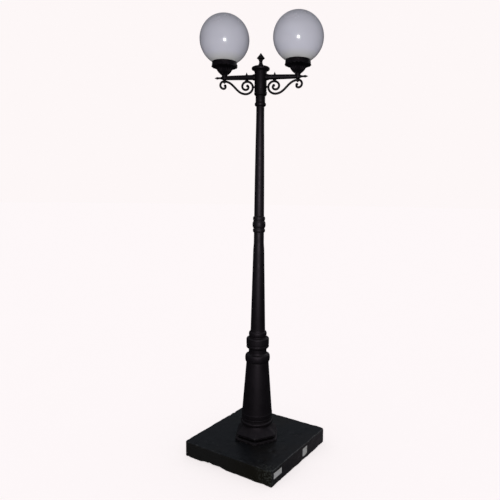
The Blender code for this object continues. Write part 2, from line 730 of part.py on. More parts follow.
def make_scroll_fixings(side_name, side, iron, head):
    """The clip between arm and volute, the pointed stud that holds it, and the cap nut under the cup."""
    arm_radius = 0.0124
    clip_top = ARM_HEIGHT - arm_radius - GAP
    clip_bottom = VOLUTE_CENTRE[1] + VOLUTE_SQUASH * 0.0276 + SCROLL_BAR + GAP
    clip = box((0.018, 0.010, clip_top - clip_bottom), (side * STUD_REACH, 0, (clip_top + clip_bottom) / 2))
    clip = add_object(f"scroll_clip_{side_name}", clip, iron, head)
    drill_shape = rod(STUD_RADIUS + GAP, 1.936, 1.966, SCREW_SEGMENTS)
    drill = add_object(f"cut_clip_{side_name}", drill_shape, iron, head)
    drill.location.x = side * STUD_REACH
    cut(clip, drill)
    seat = ARM_HEIGHT + arm_radius + GAP
    stud_profile = [
        (0.0, clip_bottom),
        (STUD_RADIUS, clip_bottom),
        (STUD_RADIUS, seat),
        (0.0052, seat),
        (0.0052, seat + 0.0030),
        (0.0034, seat + 0.0045),
        (0.0, seat + 0.0135),
    ]
    stud = add_object(f"scroll_stud_{side_name}", turned(stud_profile, SCREW_SEGMENTS), iron, head)
    stud.location.x = side * STUD_REACH
    nut_profile = [
        (0.0, NUT_SEAT - 0.0062),
        (0.0034, NUT_SEAT - 0.0054),
        (0.0058, NUT_SEAT - 0.0030),
        (0.0062, NUT_SEAT),
        (0.0022, NUT_SEAT),
        (0.0022, ARM_HEIGHT - ARM_BORE - 0.001),
        (0.0, ARM_HEIGHT - ARM_BORE - 0.001),
    ]
    nut = add_object(f"arm_nut_{side_name}", turned(nut_profile, SCREW_SEGMENTS), iron, head)
    nut.location.x = side * CUP_REACH


# Lamps


def make_cup(side_name, side, iron, head):
    """The cup that holds a globe: a flared bowl, a leaf-edged lip and an upright rim with a ledge
    inside, drilled for the nipple and for three thumb screws."""
    outer = [
        (0.0145, CUP_BASE),
        (0.0150, 1.9795),
        (0.0215, 1.9845),
        (0.0295, 1.991),
        (0.0350, 1.998),
        (0.0385, 2.0045),
        (0.0450, 2.0115),
        (0.0600, 2.0165),
        (0.0665, 2.019),
        (0.0665, 2.021),
        (0.0644, 2.0235),
        (CUP_RIM_RADIUS, 2.032),
        (CUP_RIM_RADIUS, CUP_RIM_TOP),
    ]
    inner = [
        (CUP_RIM_INNER + 0.0009, CUP_RIM_TOP),
        (CUP_RIM_INNER, CUP_RIM_TOP - 0.0020),
        (CUP_RIM_INNER, CUP_LEDGE),
        (0.0480, CUP_LEDGE),
        (0.0440, 2.0155),
        (0.0345, 2.007),
        (0.0315, 1.998),
        (0.0250, 1.991),
        (0.0225, 1.9875),
        (0.0225, HOLDER_BASE - GAP),
        (0.0050 + GAP, HOLDER_BASE - GAP),
        (0.0050 + GAP, CUP_BASE),
    ]
    cup = add_object(f"cup_{side_name}", turned(outer + inner, COLUMN_SEGMENTS), iron, head)
    cup.location.x = side * CUP_REACH
    for index, angle in enumerate(THUMB_SCREW_ANGLES):
        hole = pointed_outward(rod(0.0025 + GAP, 0.055, 0.075, SCREW_SEGMENTS), angle)
        cutter = add_object(f"cut_thumb_screw_{side_name}_{index + 1}", hole, iron, cup)
        cutter.location.z = THUMB_SCREW_HEIGHT
        cut(cup, cutter)


def make_thumb_screws(side_name, side, iron, head):
    """Knurled screws that grip the neck of the globe. Each has its own pivot in the rim."""
    tip = GLOBE_NECK_RADIUS + GAP
    head_start = CUP_RIM_RADIUS + 0.0005
    head_end = head_start + 0.0075
    profile = [(0.0, tip), (0.0018, tip), (0.0025, tip + 0.001), (0.0025, head_start), (0.0050, head_start),
               (0.0050, head_end - 0.001), (0.0042, head_end), (0.0, head_end)]
    for index, angle in enumerate(THUMB_SCREW_ANGLES):
        screw = add_object(
            f"thumb_screw_{side_name}_{index + 1}",
            pointed_outward(turned(profile, SCREW_SEGMENTS), angle),
            iron,
            head,
        )
        screw.location = (side * CUP_REACH, 0.0, THUMB_SCREW_HEIGHT)


def make_gasket(side_name, side, rubber, head):
    """The rubber ring on the cup's ledge."""
    gasket = tube(0.0595, 0.0500, CUP_LEDGE + GAP, GLOBE_NECK_BOTTOM - GAP, COLUMN_SEGMENTS)
    add_object(f"gasket_{side_name}", gasket, rubber, head).location.x = side * CUP_REACH


def make_lampholder(side_name, side, ceramic, head):
    """The lampholder in the cup, open at the top for the lamp's cap."""
    passage = 0.0050 + GAP
    nipple_top = 1.990
    profile = [
        (0.0185, HOLDER_BASE),
        (HOLDER_RADIUS, HOLDER_BASE + 0.002),
        (HOLDER_RADIUS, HOLDER_TOP - 0.001),
        (0.0185, HOLDER_TOP),
        (SOCKET_RADIUS, HOLDER_TOP),
        (SOCKET_RADIUS, SOCKET_FLOOR),
        (passage - 0.0025, SOCKET_FLOOR),
        (passage - 0.0025, nipple_top + GAP),
        (passage, nipple_top + GAP),
        (passage, HOLDER_BASE),
    ]
    holder = add_object(f"lampholder_{side_name}", turned(profile, LAMP_SEGMENTS), ceramic, head)
    holder.location.x = side * CUP_REACH


def make_nipple(side_name, side, steel, head):
    """The hollow threaded nipple that clamps cup and lampholder to the arm."""
    bottom = ARM_HEIGHT + ARM_BORE + 0.0005
    nipple = tube(0.0050, 0.0032, bottom, 1.990, SMALL_SEGMENTS)
    add_object(f"nipple_{side_name}", nipple, steel, head).location.x = side * CUP_REACH


def make_lead(side_name, side, insulation, head):
    """The lamp's lead, from the terminal block through the arm and up the nipple."""
    points = [
        (0.0050, 0.0120, 1.9473),
        (0.0056, 0.0116, 1.9535),
        (0.0085, 0.0095, 1.961),
        (0.0150, 0.0052, 1.9643),
        (0.0260, LEAD_OFFSET, ARM_HEIGHT),
        (0.0900, LEAD_OFFSET, ARM_HEIGHT),
        (0.1600, LEAD_OFFSET, ARM_HEIGHT),
        (0.1780, 0.0025, 1.9646),
        (0.1855, 0.0006, 1.9666),
        (CUP_REACH, 0.0, 1.9725),
        (CUP_REACH, 0.0, 1.988),
    ]
    route = smooth_route([Vector((side * x, y, z)) for x, y, z in points], 2)
    name = f"lamp_lead_{side_name}"
    curve = bpy.data.curves.new(name, "CURVE")
    curve.dimensions = "3D"
    curve.bevel_depth = LEAD_RADIUS
    curve.bevel_resolution = 1
    curve.use_fill_caps = True
    curve.render_resolution_u = 0
    spline = curve.splines.new("POLY")
    spline.points.add(len(route) - 1)
    for point, place in zip(spline.points, route):
        point.co = (*place, 1.0)
    curve.materials.append(insulation)
    lead = bpy.data.objects.new(name, curve)
    bpy.context.collection.objects.link(lead)
    lead.parent = head


def make_lamp(side_name, side, glass, metal, head):
    """The lamp: a screw cap in the lampholder and a bulb on it, both on the lamp's own pivot."""
    pivot = add_pivot(f"lamp_{side_name}_pivot", (side * CUP_REACH, 0.0, 0.0), head)
    cap_bottom = SOCKET_FLOOR + 0.0015
    cap_profile = [
        (0.0, cap_bottom),
        (0.0050, cap_bottom),
        (0.0100, cap_bottom + 0.004),
        (LAMP_CAP_RADIUS, cap_bottom + 0.006),
        (LAMP_CAP_RADIUS, LAMP_CAP_TOP),
        (0.0, LAMP_CAP_TOP),
    ]
    add_object(f"lamp_cap_{side_name}", turned(cap_profile, LAMP_SEGMENTS), metal, pivot)
    start = LAMP_CAP_TOP + GAP
    crown_start_deg = -35.0
    bulb = [(0.0, start), (0.0145, start), (0.0160, start + 0.012)]
    bulb += arc((0.0, LAMP_CENTRE_Z), LAMP_RADIUS, crown_start_deg, 72.0, 4)
    bulb += [(0.0, LAMP_CENTRE_Z + LAMP_RADIUS)]
    add_object(f"lamp_bulb_{side_name}", turned(bulb, LAMP_SEGMENTS), glass, pivot)


def make_globe(side_name, side, opal, head):
    """The opal globe, a thin ball open at the bottom, with a neck that stands on the gasket."""
    pivot = add_pivot(f"globe_{side_name}_pivot", (side * CUP_REACH, 0.0, 0.0), head)
    centre = (0.0, GLOBE_CENTRE_Z)
    inner_radius = GLOBE_RADIUS - GLOBE_WALL
    inner_neck = GLOBE_NECK_RADIUS - GLOBE_WALL
    outer_start = -math.degrees(math.acos(GLOBE_NECK_RADIUS / GLOBE_RADIUS))
    inner_start = -math.degrees(math.acos(inner_neck / inner_radius))
    steps = 8
    outer = [(0.0, GLOBE_CENTRE_Z + GLOBE_RADIUS)]
    outer += arc(centre, GLOBE_RADIUS, 76.0, outer_start, steps)
    inner = arc(centre, inner_radius, inner_start, 76.0, steps)
    inner += [(0.0, GLOBE_CENTRE_Z + inner_radius)]
    neck = [(GLOBE_NECK_RADIUS, GLOBE_NECK_BOTTOM), (inner_neck, GLOBE_NECK_BOTTOM)]
    add_object(f"globe_{side_name}", turned(outer + neck + inner, GLOBE_SEGMENTS), opal, pivot)


# Cap and finial


def make_cap(iron, head):
    """The mushroom cap that closes the hub, with a shallow plug below and a stud hole in its middle."""
    base = HUB_TOP + GAP
    plug = HUB_INNER - 0.0008
    pivot = add_pivot("cap_pivot", (0.0, 0.0, base), head)
    profile = [
        (plug, -0.007),
        (plug, 0.0),
        (0.0310, 0.0),
        (0.0345, 0.0030),
        (0.0430, 0.0095),
        (CAP_RADIUS, 0.0130),
        (CAP_RADIUS, 0.0180),
        (0.0435, 0.0212),
        (0.0350, 0.0250),
        (0.0220, 0.0300),
        (0.0120, CAP_TOP - base),
        (0.0035, CAP_TOP - base),
        (0.0035, 0.0270),
        (0.0180, 0.0240),
        (0.0200, 0.0200),
        (0.0200, -0.007),
    ]
    add_object("hub_cap", turned(profile, COLUMN_SEGMENTS), iron, pivot)
    return pivot


def make_finial(iron, cap):
    """The bud finial, on a stud that comes up through the cap."""
    base = CAP_TOP + GAP
    profile = [
        (0.0, -0.012),
        (0.0028, -0.012),
        (0.0028, 0.0),
        (0.0125, 0.0),
        (0.0120, 0.0035),
        (0.0092, 0.0075),
        (0.0086, 0.0205),
        (0.0125, 0.0260),
        (0.0198, 0.0325),
        (0.0196, 0.0355),
        (0.0130, 0.0430),
        (0.0062, 0.0520),
        (0.0, FINIAL_TIP - base),
    ]
    finial = add_object("finial", turned(profile, SMALL_SEGMENTS), iron, cap)
    finial.location.z = base - (HUB_TOP + GAP)


def build():
    """Make every piece."""
    clear_scene()
    iron = make_material("black_paint", (0.012, 0.012, 0.014), 0.42, 0.0)
    bracket_iron = make_material("bracket_paint", (0.014, 0.013, 0.017), 0.45, 0.0)
    concrete = make_material("slab_paint", (0.020, 0.022, 0.026), 0.62, 0.0)
    opal = make_material("opal_globe", (0.74, 0.73, 0.80), 0.15, 0.0)
    steel = make_material("zinc_steel", (0.42, 0.43, 0.45), 0.38, 1.0)
    rubber = make_material("black_rubber", (0.02, 0.02, 0.02), 0.80, 0.0)
    paper = make_material("blank_label", (0.86, 0.86, 0.84), 0.60, 0.0)
    ceramic = make_material("lampholder_ceramic", (0.80, 0.79, 0.75), 0.25, 0.0)
    bulb_glass = make_material("lamp_glass", (0.90, 0.89, 0.85), 0.10, 0.0)
    cap_metal = make_material("lamp_cap_metal", (0.72, 0.70, 0.66), 0.30, 1.0)
    plastic = make_material("terminal_plastic", (0.78, 0.77, 0.72), 0.45, 0.0)
    insulation = make_material("lead_insulation", (0.08, 0.05, 0.04), 0.50, 0.0)

    turned_slab = add_pivot("slab_turn", (0.0, 0.0, 0.0))
    turned_slab.rotation_euler.z = SLAB_TURN
    make_slab(concrete, turned_slab)
    make_labels(paper, turned_slab)
    make_foot_bolts(steel, turned_slab)
    make_grommet(rubber, turned_slab)
    make_foot(iron, turned_slab)
    make_lower_shaft(iron)
    make_lower_collar(iron)
    make_middle_shaft(iron)
    make_mid_collar(iron)
    make_upper_shaft(iron)
    make_head_spigot(iron)
    make_tie(steel)

    head = add_pivot("head_pivot", (0.0, 0.0, 0.0))
    make_hub(iron, head)
    make_set_screws(iron, head)
    make_terminal_block(plastic, head)
    for side_name, side in SIDES.items():
        make_arm(side_name, side, bracket_iron, head)
        make_arm_tip(side_name, side, bracket_iron, head)
        make_scroll(side_name, side, bracket_iron, head)
        make_scroll_fixings(side_name, side, bracket_iron, head)
        make_cup(side_name, side, bracket_iron, head)
        make_thumb_screws(side_name, side, bracket_iron, head)
        make_gasket(side_name, side, rubber, head)
        make_lampholder(side_name, side, ceramic, head)
        make_nipple(side_name, side, steel, head)
        make_lead(side_name, side, insulation, head)
        make_lamp(side_name, side, bulb_glass, cap_metal, head)
        make_globe(side_name, side, opal, head)
    cap = make_cap(iron, head)
    make_finial(iron, cap)


build()
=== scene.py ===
"""Looks of the two-globe street lamp post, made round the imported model.

Metres, +Z up, in the frame of the CAD. The arms lie along X; the slab and the foot are turned about Z.
"""

import json
import math

import bmesh
import bpy
from mathutils import Matrix, Vector, noise

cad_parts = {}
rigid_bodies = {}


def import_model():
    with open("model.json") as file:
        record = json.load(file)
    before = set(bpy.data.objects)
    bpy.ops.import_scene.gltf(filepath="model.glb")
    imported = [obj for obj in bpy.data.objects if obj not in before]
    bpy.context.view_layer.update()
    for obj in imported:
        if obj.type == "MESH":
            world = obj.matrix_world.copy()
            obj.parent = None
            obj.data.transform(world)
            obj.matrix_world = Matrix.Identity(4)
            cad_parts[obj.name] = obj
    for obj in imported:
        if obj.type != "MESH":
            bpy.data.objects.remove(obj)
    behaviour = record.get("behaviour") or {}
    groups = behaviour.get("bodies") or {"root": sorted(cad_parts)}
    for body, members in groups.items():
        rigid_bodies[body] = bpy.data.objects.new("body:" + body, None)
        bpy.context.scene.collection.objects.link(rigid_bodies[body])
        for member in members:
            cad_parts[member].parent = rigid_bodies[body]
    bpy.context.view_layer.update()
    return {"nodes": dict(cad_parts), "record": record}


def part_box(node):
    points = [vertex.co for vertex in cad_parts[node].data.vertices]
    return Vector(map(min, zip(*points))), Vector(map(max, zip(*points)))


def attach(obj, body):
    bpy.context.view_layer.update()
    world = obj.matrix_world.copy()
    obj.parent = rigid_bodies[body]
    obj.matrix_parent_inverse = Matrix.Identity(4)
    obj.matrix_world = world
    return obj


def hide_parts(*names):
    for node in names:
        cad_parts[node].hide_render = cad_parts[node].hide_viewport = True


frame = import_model()

# Camera, placed as the photographer stood; the shift is the crop of the picture
CAMERA_PLACE = (0.5533, -2.5619, 1.3853)
CAMERA_PAN = -0.1704
CAMERA_PITCH = -0.1110
CAMERA_ROLL = 0.0158
CAMERA_LENS = 36.387
CAMERA_SENSOR = 36.0
CAMERA_SHIFT = -0.06

# Fineness of the meshes
ROUND = 96
SMALL_ROUND = 48
TINY_ROUND = 32
HOLE_ROUND = 24
CORNER_STEPS = 4
SHARP_ANGLE = math.radians(32.0)
# Turns a tool's edges away from those of the piece that it cuts
OFF_EDGE = math.radians(1.3)

GAP = 0.0003
SIDES = {"left": -1, "right": 1}


# Where the frame's pieces are


def ends(node):
    """The lowest and the highest point of a CAD node."""
    low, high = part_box(node)
    return low.z, high.z


def middle(node):
    """The centre of a CAD node's box."""
    low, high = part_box(node)
    return (low + high) / 2


SLAB_SIDE = 0.549
SLAB_LENGTH = 0.548
SLAB_OFFSET = Vector((-0.004, 0.006, 0.0))
SLAB_TOP = ends("base_slab")[1]
SLAB_TURN = Matrix.Rotation(math.radians(-22.0), 4, "Z")
ARM_HEIGHT = middle("arm_tip_right").z
CUP_REACH = middle("globe_right").x


# Node materials


class Nodes:
    """A material's or a world's node tree, with short calls for the nodes that the finishes share."""

    def __init__(self, name, owners=bpy.data.materials):
        self.owner = owners.new(name)
        self.owner.use_nodes = True
        self.tree = self.owner.node_tree
        self.shader = self.tree.nodes.get("Principled BSDF")

    def add(self, kind, **settings):
        """A new node, with its settings set by name."""
        node = self.tree.nodes.new(kind)
        for key, value in settings.items():
            setattr(node, key, value)
        return node

    def link(self, output, target):
        """Join an output to an input."""
        self.tree.links.new(output, target)

    def geometry(self, name):
        """One of the outputs that tell where and how the surface is."""
        return self.add("ShaderNodeNewGeometry").outputs[name]

    def noise(self, scale, detail=4.0, roughness=0.55, stretch=(1.0, 1.0, 1.0)):
        """Noise over the object's own space, stretched along an axis where a finish has a direction."""
        mapping = self.add("ShaderNodeMapping")
        mapping.inputs["Scale"].default_value = stretch
        self.link(self.add("ShaderNodeTexCoord").outputs["Object"], mapping.inputs["Vector"])
        node = self.add("ShaderNodeTexNoise")
        for name, value in (("Scale", scale), ("Detail", detail), ("Roughness", roughness)):
            node.inputs[name].default_value = value
        self.link(mapping.outputs["Vector"], node.inputs["Vector"])
        return node.outputs["Fac"]

    def speckle(self, scale):
        """Distance to the nearest of many scattered points."""
        node = self.add("ShaderNodeTexVoronoi")
        node.inputs["Scale"].default_value = scale
        self.link(self.add("ShaderNodeTexCoord").outputs["Object"], node.inputs["Vector"])
        return node.outputs["Distance"]

    def ramp(self, source, low, high, start=0.0, end=1.0):
        """source from low to high becomes start to end, and stays there outside them."""
        node = self.add("ShaderNodeMapRange")
        limits = (("From Min", low), ("From Max", high), ("To Min", start), ("To Max", end))
        for name, value in limits:
            node.inputs[name].default_value = value
        self.link(source, node.inputs["Value"])
        return node.outputs["Result"]

    def patchy(self, grain, low, high, start=0.0, end=1.0):
        """A ramp over noise, or over speckle where grain is one number."""
        source = self.speckle(grain) if isinstance(grain, float) else self.noise(*grain)
        return self.ramp(source, low, high, start, end)

    def maths(self, operation, first, second):
        """Two values combined; the second may be a number."""
        node = self.add("ShaderNodeMath", operation=operation)
        self.link(first, node.inputs[0])
        if isinstance(second, float):
            node.inputs[1].default_value = second
        else:
            self.link(second, node.inputs[1])
        return node.outputs["Value"]

    def product(self, first, second):
        """Two values multiplied."""
        return self.maths("MULTIPLY", first, second)

    def mix(self, factor, first, second):
        """A colour between two, each a tuple or another mix's output."""
        node = self.add("ShaderNodeMix", data_type="RGBA")
        self.link(factor, node.inputs["Factor"])
        for socket, colour in ((node.inputs[6], first), (node.inputs[7], second)):
            if isinstance(colour, tuple):
                socket.default_value = (*colour, 1.0)
            else:
                self.link(colour, socket)
        return node.outputs[2]

    def facing(self, way, low=0.6, high=0.9):
        """1 on faces that look along a direction, 0 on those that look well away from it."""
        node = self.add("ShaderNodeVectorMath", operation="DOT_PRODUCT")
        self.link(self.geometry("Normal"), node.inputs[0])
        node.inputs[1].default_value = way
        return self.ramp(node.outputs["Value"], low, high)

    def upward(self):
        """1 on faces that look up, 0 on upright ones and on those that look down."""
        return self.facing((0.0, 0.0, 1.0), 0.25, 0.95)

    def height(self, direction=None):
        """Height above the ground, or the height part of a direction."""
        split = self.add("ShaderNodeSeparateXYZ")
        self.link(direction or self.geometry("Position"), split.inputs["Vector"])
        return split.outputs["Z"]

    def near(self, place, reach):
        """1 at a place, less and less out to reach, and 0 beyond."""
        node = self.add("ShaderNodeVectorMath", operation="DISTANCE")
        self.link(self.geometry("Position"), node.inputs[0])
        node.inputs[1].default_value = place
        return self.ramp(node.outputs["Value"], 0.0, reach, 1.0, 0.0)

    def crevices(self):
        """1 deep in hollow corners, 0 on flat and on rounded surfaces."""
        return self.ramp(self.geometry("Pointiness"), 0.44, 0.494, 1.0, 0.0)

    def edges(self, low=0.515, high=0.56):
        """1 on sharp outer edges."""
        return self.ramp(self.geometry("Pointiness"), low, high)

    def bump(self, layers):
        """Bump from (height, strength, distance) layers, one on the other."""
        normal = None
        for height, strength, distance in layers:
            node = self.add("ShaderNodeBump")
            node.inputs["Strength"].default_value = strength
            node.inputs["Distance"].default_value = distance
            self.link(height, node.inputs["Height"])
            if normal:
                self.link(normal, node.inputs["Normal"])
            normal = node.outputs["Normal"]
        self.link(normal, self.shader.inputs["Normal"])

    def drive(self, **outputs):
        """Link outputs to the shader's own sockets; an underscore in a name is a space."""
        for name, output in outputs.items():
            self.link(output, self.shader.inputs[name.replace("_", " ")])

    def set(self, **values):
        """Set the shader's own sockets; an underscore in a name is a space."""
        for name, value in values.items():
            self.shader.inputs[name.replace("_", " ")].default_value = value


# Heights over which painted shade darkens the column's paint and takes its gloss away, more and more towards
# the head
HEAD_SHADE_HEIGHTS = (1.62, 1.90)


def black_paint(name, dark, light, rough):
    """Satin black paint on a sand casting: orange peel, unevenness, dust and rubbed edges, with painted shade
    in hollow corners and on the head.
    """
    paint = Nodes(name)
    colour = paint.mix(paint.patchy((9.0, 5.0), 0.35, 0.68), dark, light)
    dust = paint.product(paint.upward(), paint.patchy((55.0, 6.0), 0.35, 0.75, 0.0, 0.42))
    colour = paint.mix(dust, colour, (0.040, 0.037, 0.035))
    rubbed = paint.product(paint.edges(), paint.patchy((120.0, 3.0), 0.48, 0.62, 0.0, 0.55))
    colour = paint.mix(rubbed, colour, (0.050, 0.047, 0.046))
    flecks = paint.patchy(260.0, 0.045, 0.070, 0.5, 0.0)
    flecks = paint.product(flecks, paint.patchy((22.0, 2.0), 0.56, 0.66))
    colour = paint.mix(flecks, colour, (0.085, 0.080, 0.075))
    # Painted shade: near black in hollow corners, with the gloss taken away there too.
    painted_shade = paint.product(paint.crevices(), 0.85)
    # Painted shade grows with height up to the head, for the light that falls off there.
    painted_shade = paint.maths("MAXIMUM", painted_shade, paint.ramp(paint.height(), *HEAD_SHADE_HEIGHTS, 0.0, 0.62))
    colour = paint.mix(painted_shade, colour, (0.0006, 0.0005, 0.0007))
    sheen = paint.patchy((38.0, 5.0), 0.3, 0.7, rough - 0.05, rough + 0.09)
    sheen = paint.maths("ADD", sheen, paint.product(dust, 0.5))
    gloss = paint.ramp(painted_shade, 0.0, 1.0, 0.45, 0.04)
    paint.drive(Base_Color=colour, Specular_IOR_Level=gloss, Roughness=sheen)
    paint.bump([
        (paint.noise(26.0, 3.0), 0.18, 0.0030),
        (paint.noise(420.0, 4.0, 0.6), 0.22, 0.0006),
        (paint.noise(1500.0, 2.0), 0.10, 0.0002),
    ])
    paint.set(Specular_Tint=(1.0, 0.84, 0.98, 1.0))
    return paint.owner


# The ways that the slab's two seen sides look, which get painted light, and where its paint is stained and
# grazed at their corner; the painted light on the right side fades towards the graze
SLAB_LEFT = (-0.375, -0.927, 0.0)
SLAB_RIGHT = (0.927, -0.375, 0.0)
SLAB_STAIN = (0.08, -0.34, 0.015)
SLAB_GRAZE = (0.135, -0.335, 0.062)


def slab_paint():
    """Black masonry paint on concrete: pits, scuffs down to grey, dust, bare patches low down, and painted
    light on its two seen sides.
    """
    paint = Nodes("slab_paint_worn")
    tone = paint.patchy((6.5, 6.0, 0.6), 0.34, 0.66)
    colour = paint.mix(tone, (0.0050, 0.0056, 0.0068), (0.0076, 0.0084, 0.0102))
    dust = paint.product(paint.upward(), paint.patchy((16.0, 8.0, 0.65), 0.30, 0.80, 0.04, 0.20))
    colour = paint.mix(dust, colour, (0.024, 0.026, 0.032))
    rusty = paint.patchy((4.2, 4.0, 0.6), 0.50, 0.66, 0.0, 0.55)
    colour = paint.mix(rusty, colour, (0.0125, 0.0092, 0.0066))
    scuffs = paint.patchy((30.0, 9.0, 0.72, (1.0, 1.0, 2.6)), 0.615, 0.665, 0.0, 0.50)
    low_down = paint.ramp(paint.height(), SLAB_TOP * 0.30, SLAB_TOP * 1.02, 1.0, 0.18)
    colour = paint.mix(paint.product(scuffs, low_down), colour, (0.13, 0.13, 0.135))
    # Painted light: the left seen side gets a lighter flat colour of its own, for the light that falls on it.
    colour = paint.mix(paint.facing(SLAB_LEFT), colour, (0.0150, 0.0140, 0.0132))
    # Painted light: the right seen side is lit purple-grey, mottled, strongest far from the front corner and
    # weaker near the graze.
    painted_light_right = paint.ramp(paint.near(SLAB_GRAZE, 0.60), 0.0, 0.9, 0.95, 0.30)
    painted_light_right = paint.product(painted_light_right, paint.patchy((9.0, 5.0), 0.30, 0.62, 0.55, 1.0))
    painted_light_right = paint.product(painted_light_right, paint.facing(SLAB_RIGHT))
    colour = paint.mix(painted_light_right, colour, (0.060, 0.052, 0.057))
    stained = paint.product(paint.near(SLAB_STAIN, 0.26), paint.facing(SLAB_LEFT))
    colour = paint.mix(stained, colour, (0.0115, 0.0096, 0.0048))
    rubbed = paint.product(paint.edges(0.505, 0.56), paint.patchy((70.0, 6.0), 0.50, 0.62, 0.0, 0.75))
    colour = paint.mix(rubbed, colour, (0.20, 0.20, 0.205))
    grazed = paint.product(paint.near(SLAB_GRAZE, 0.085), paint.patchy((110.0, 5.0, 0.7), 0.50, 0.60))
    colour = paint.mix(grazed, colour, (0.075, 0.082, 0.070))
    specks = paint.patchy(95.0, 0.035, 0.060, 0.8, 0.0)
    specks = paint.product(specks, paint.patchy((12.0, 2.0), 0.55, 0.62))
    colour = paint.mix(specks, colour, (0.30, 0.30, 0.30))
    paint.drive(Base_Color=colour, Roughness=paint.patchy((24.0, 6.0), 0.3, 0.7, 0.30, 0.42))
    paint.bump([
        (paint.noise(14.0, 5.0), 0.35, 0.0060),
        (paint.patchy(210.0, 0.10, 0.30), 0.25, 0.0010),
        (paint.noise(330.0, 6.0, 0.7), 0.45, 0.0012),
    ])
    paint.set(Specular_IOR_Level=0.32, Specular_Tint=(0.90, 0.94, 1.0, 1.0))
    return paint.owner


GLOBE_NECK_TOP = 2.043


def opal_globe():
    """Glossy opal plastic: milky depth, an uneven gloss, and a film of dust on the crown."""
    opal = Nodes("opal_globe_glossy")
    clouds = opal.patchy((5.0, 3.0), 0.3, 0.7)
    colour = opal.mix(clouds, (0.490, 0.482, 0.545), (0.518, 0.510, 0.577))
    dust = opal.product(opal.upward(), opal.patchy((18.0, 8.0, 0.6), 0.35, 0.75, 0.06, 0.32))
    colour = opal.mix(dust, colour, (0.47, 0.45, 0.47))
    colour = opal.mix(opal.patchy(120.0, 0.020, 0.034, 0.30, 0.0), colour, (0.30, 0.28, 0.27))
    warm = opal.ramp(opal.height(), GLOBE_NECK_TOP, GLOBE_NECK_TOP + 0.035, 0.65, 0.0)
    colour = opal.mix(warm, colour, (0.46, 0.45, 0.40))
    gloss = opal.maths("ADD", opal.patchy((30.0, 4.0), 0.3, 0.7, 0.16, 0.24), dust)
    opal.drive(Base_Color=colour, Roughness=gloss)
    opal.bump([(opal.noise(11.0, 2.0), 0.05, 0.0020), (opal.noise(240.0, 2.0), 0.04, 0.0003)])
    opal.set(Subsurface_Weight=0.25, Subsurface_Scale=0.01, Subsurface_Radius=(1.0, 0.9, 0.85))
    opal.set(Coat_Weight=0.25, Coat_Roughness=0.03)
    return opal.owner


def finish(name, tone, colours, rough, bumps, marks=(), **settings):
    """A finish of two mixed colours with marks over them, an uneven gloss and fine bumps.

    tone and rough are what Nodes.patchy takes. A mark is the same, with its colour. A bump is a noise
    with its strength and its distance.
    """
    coat = Nodes(name)
    colour = coat.mix(coat.patchy(*tone), *colours)
    for mark, shade in marks:
        colour = coat.mix(coat.patchy(*mark), colour, shade)
    coat.drive(Base_Color=colour, Roughness=coat.patchy(*rough))
    coat.bump([(coat.noise(*grain), strength, distance) for grain, strength, distance in bumps])
    coat.set(**settings)
    return coat.owner


def moulded_plastic(name, first, second, rough):
    """Moulded plastic with a fine spark-eroded texture."""
    gloss = ((240.0, 3.0), 0.3, 0.7, rough - 0.06, rough + 0.10)
    return finish(name, ((80.0, 5.0), 0.3, 0.7), (first, second), gloss, [((1800.0, 2.0), 0.18, 0.0002)])


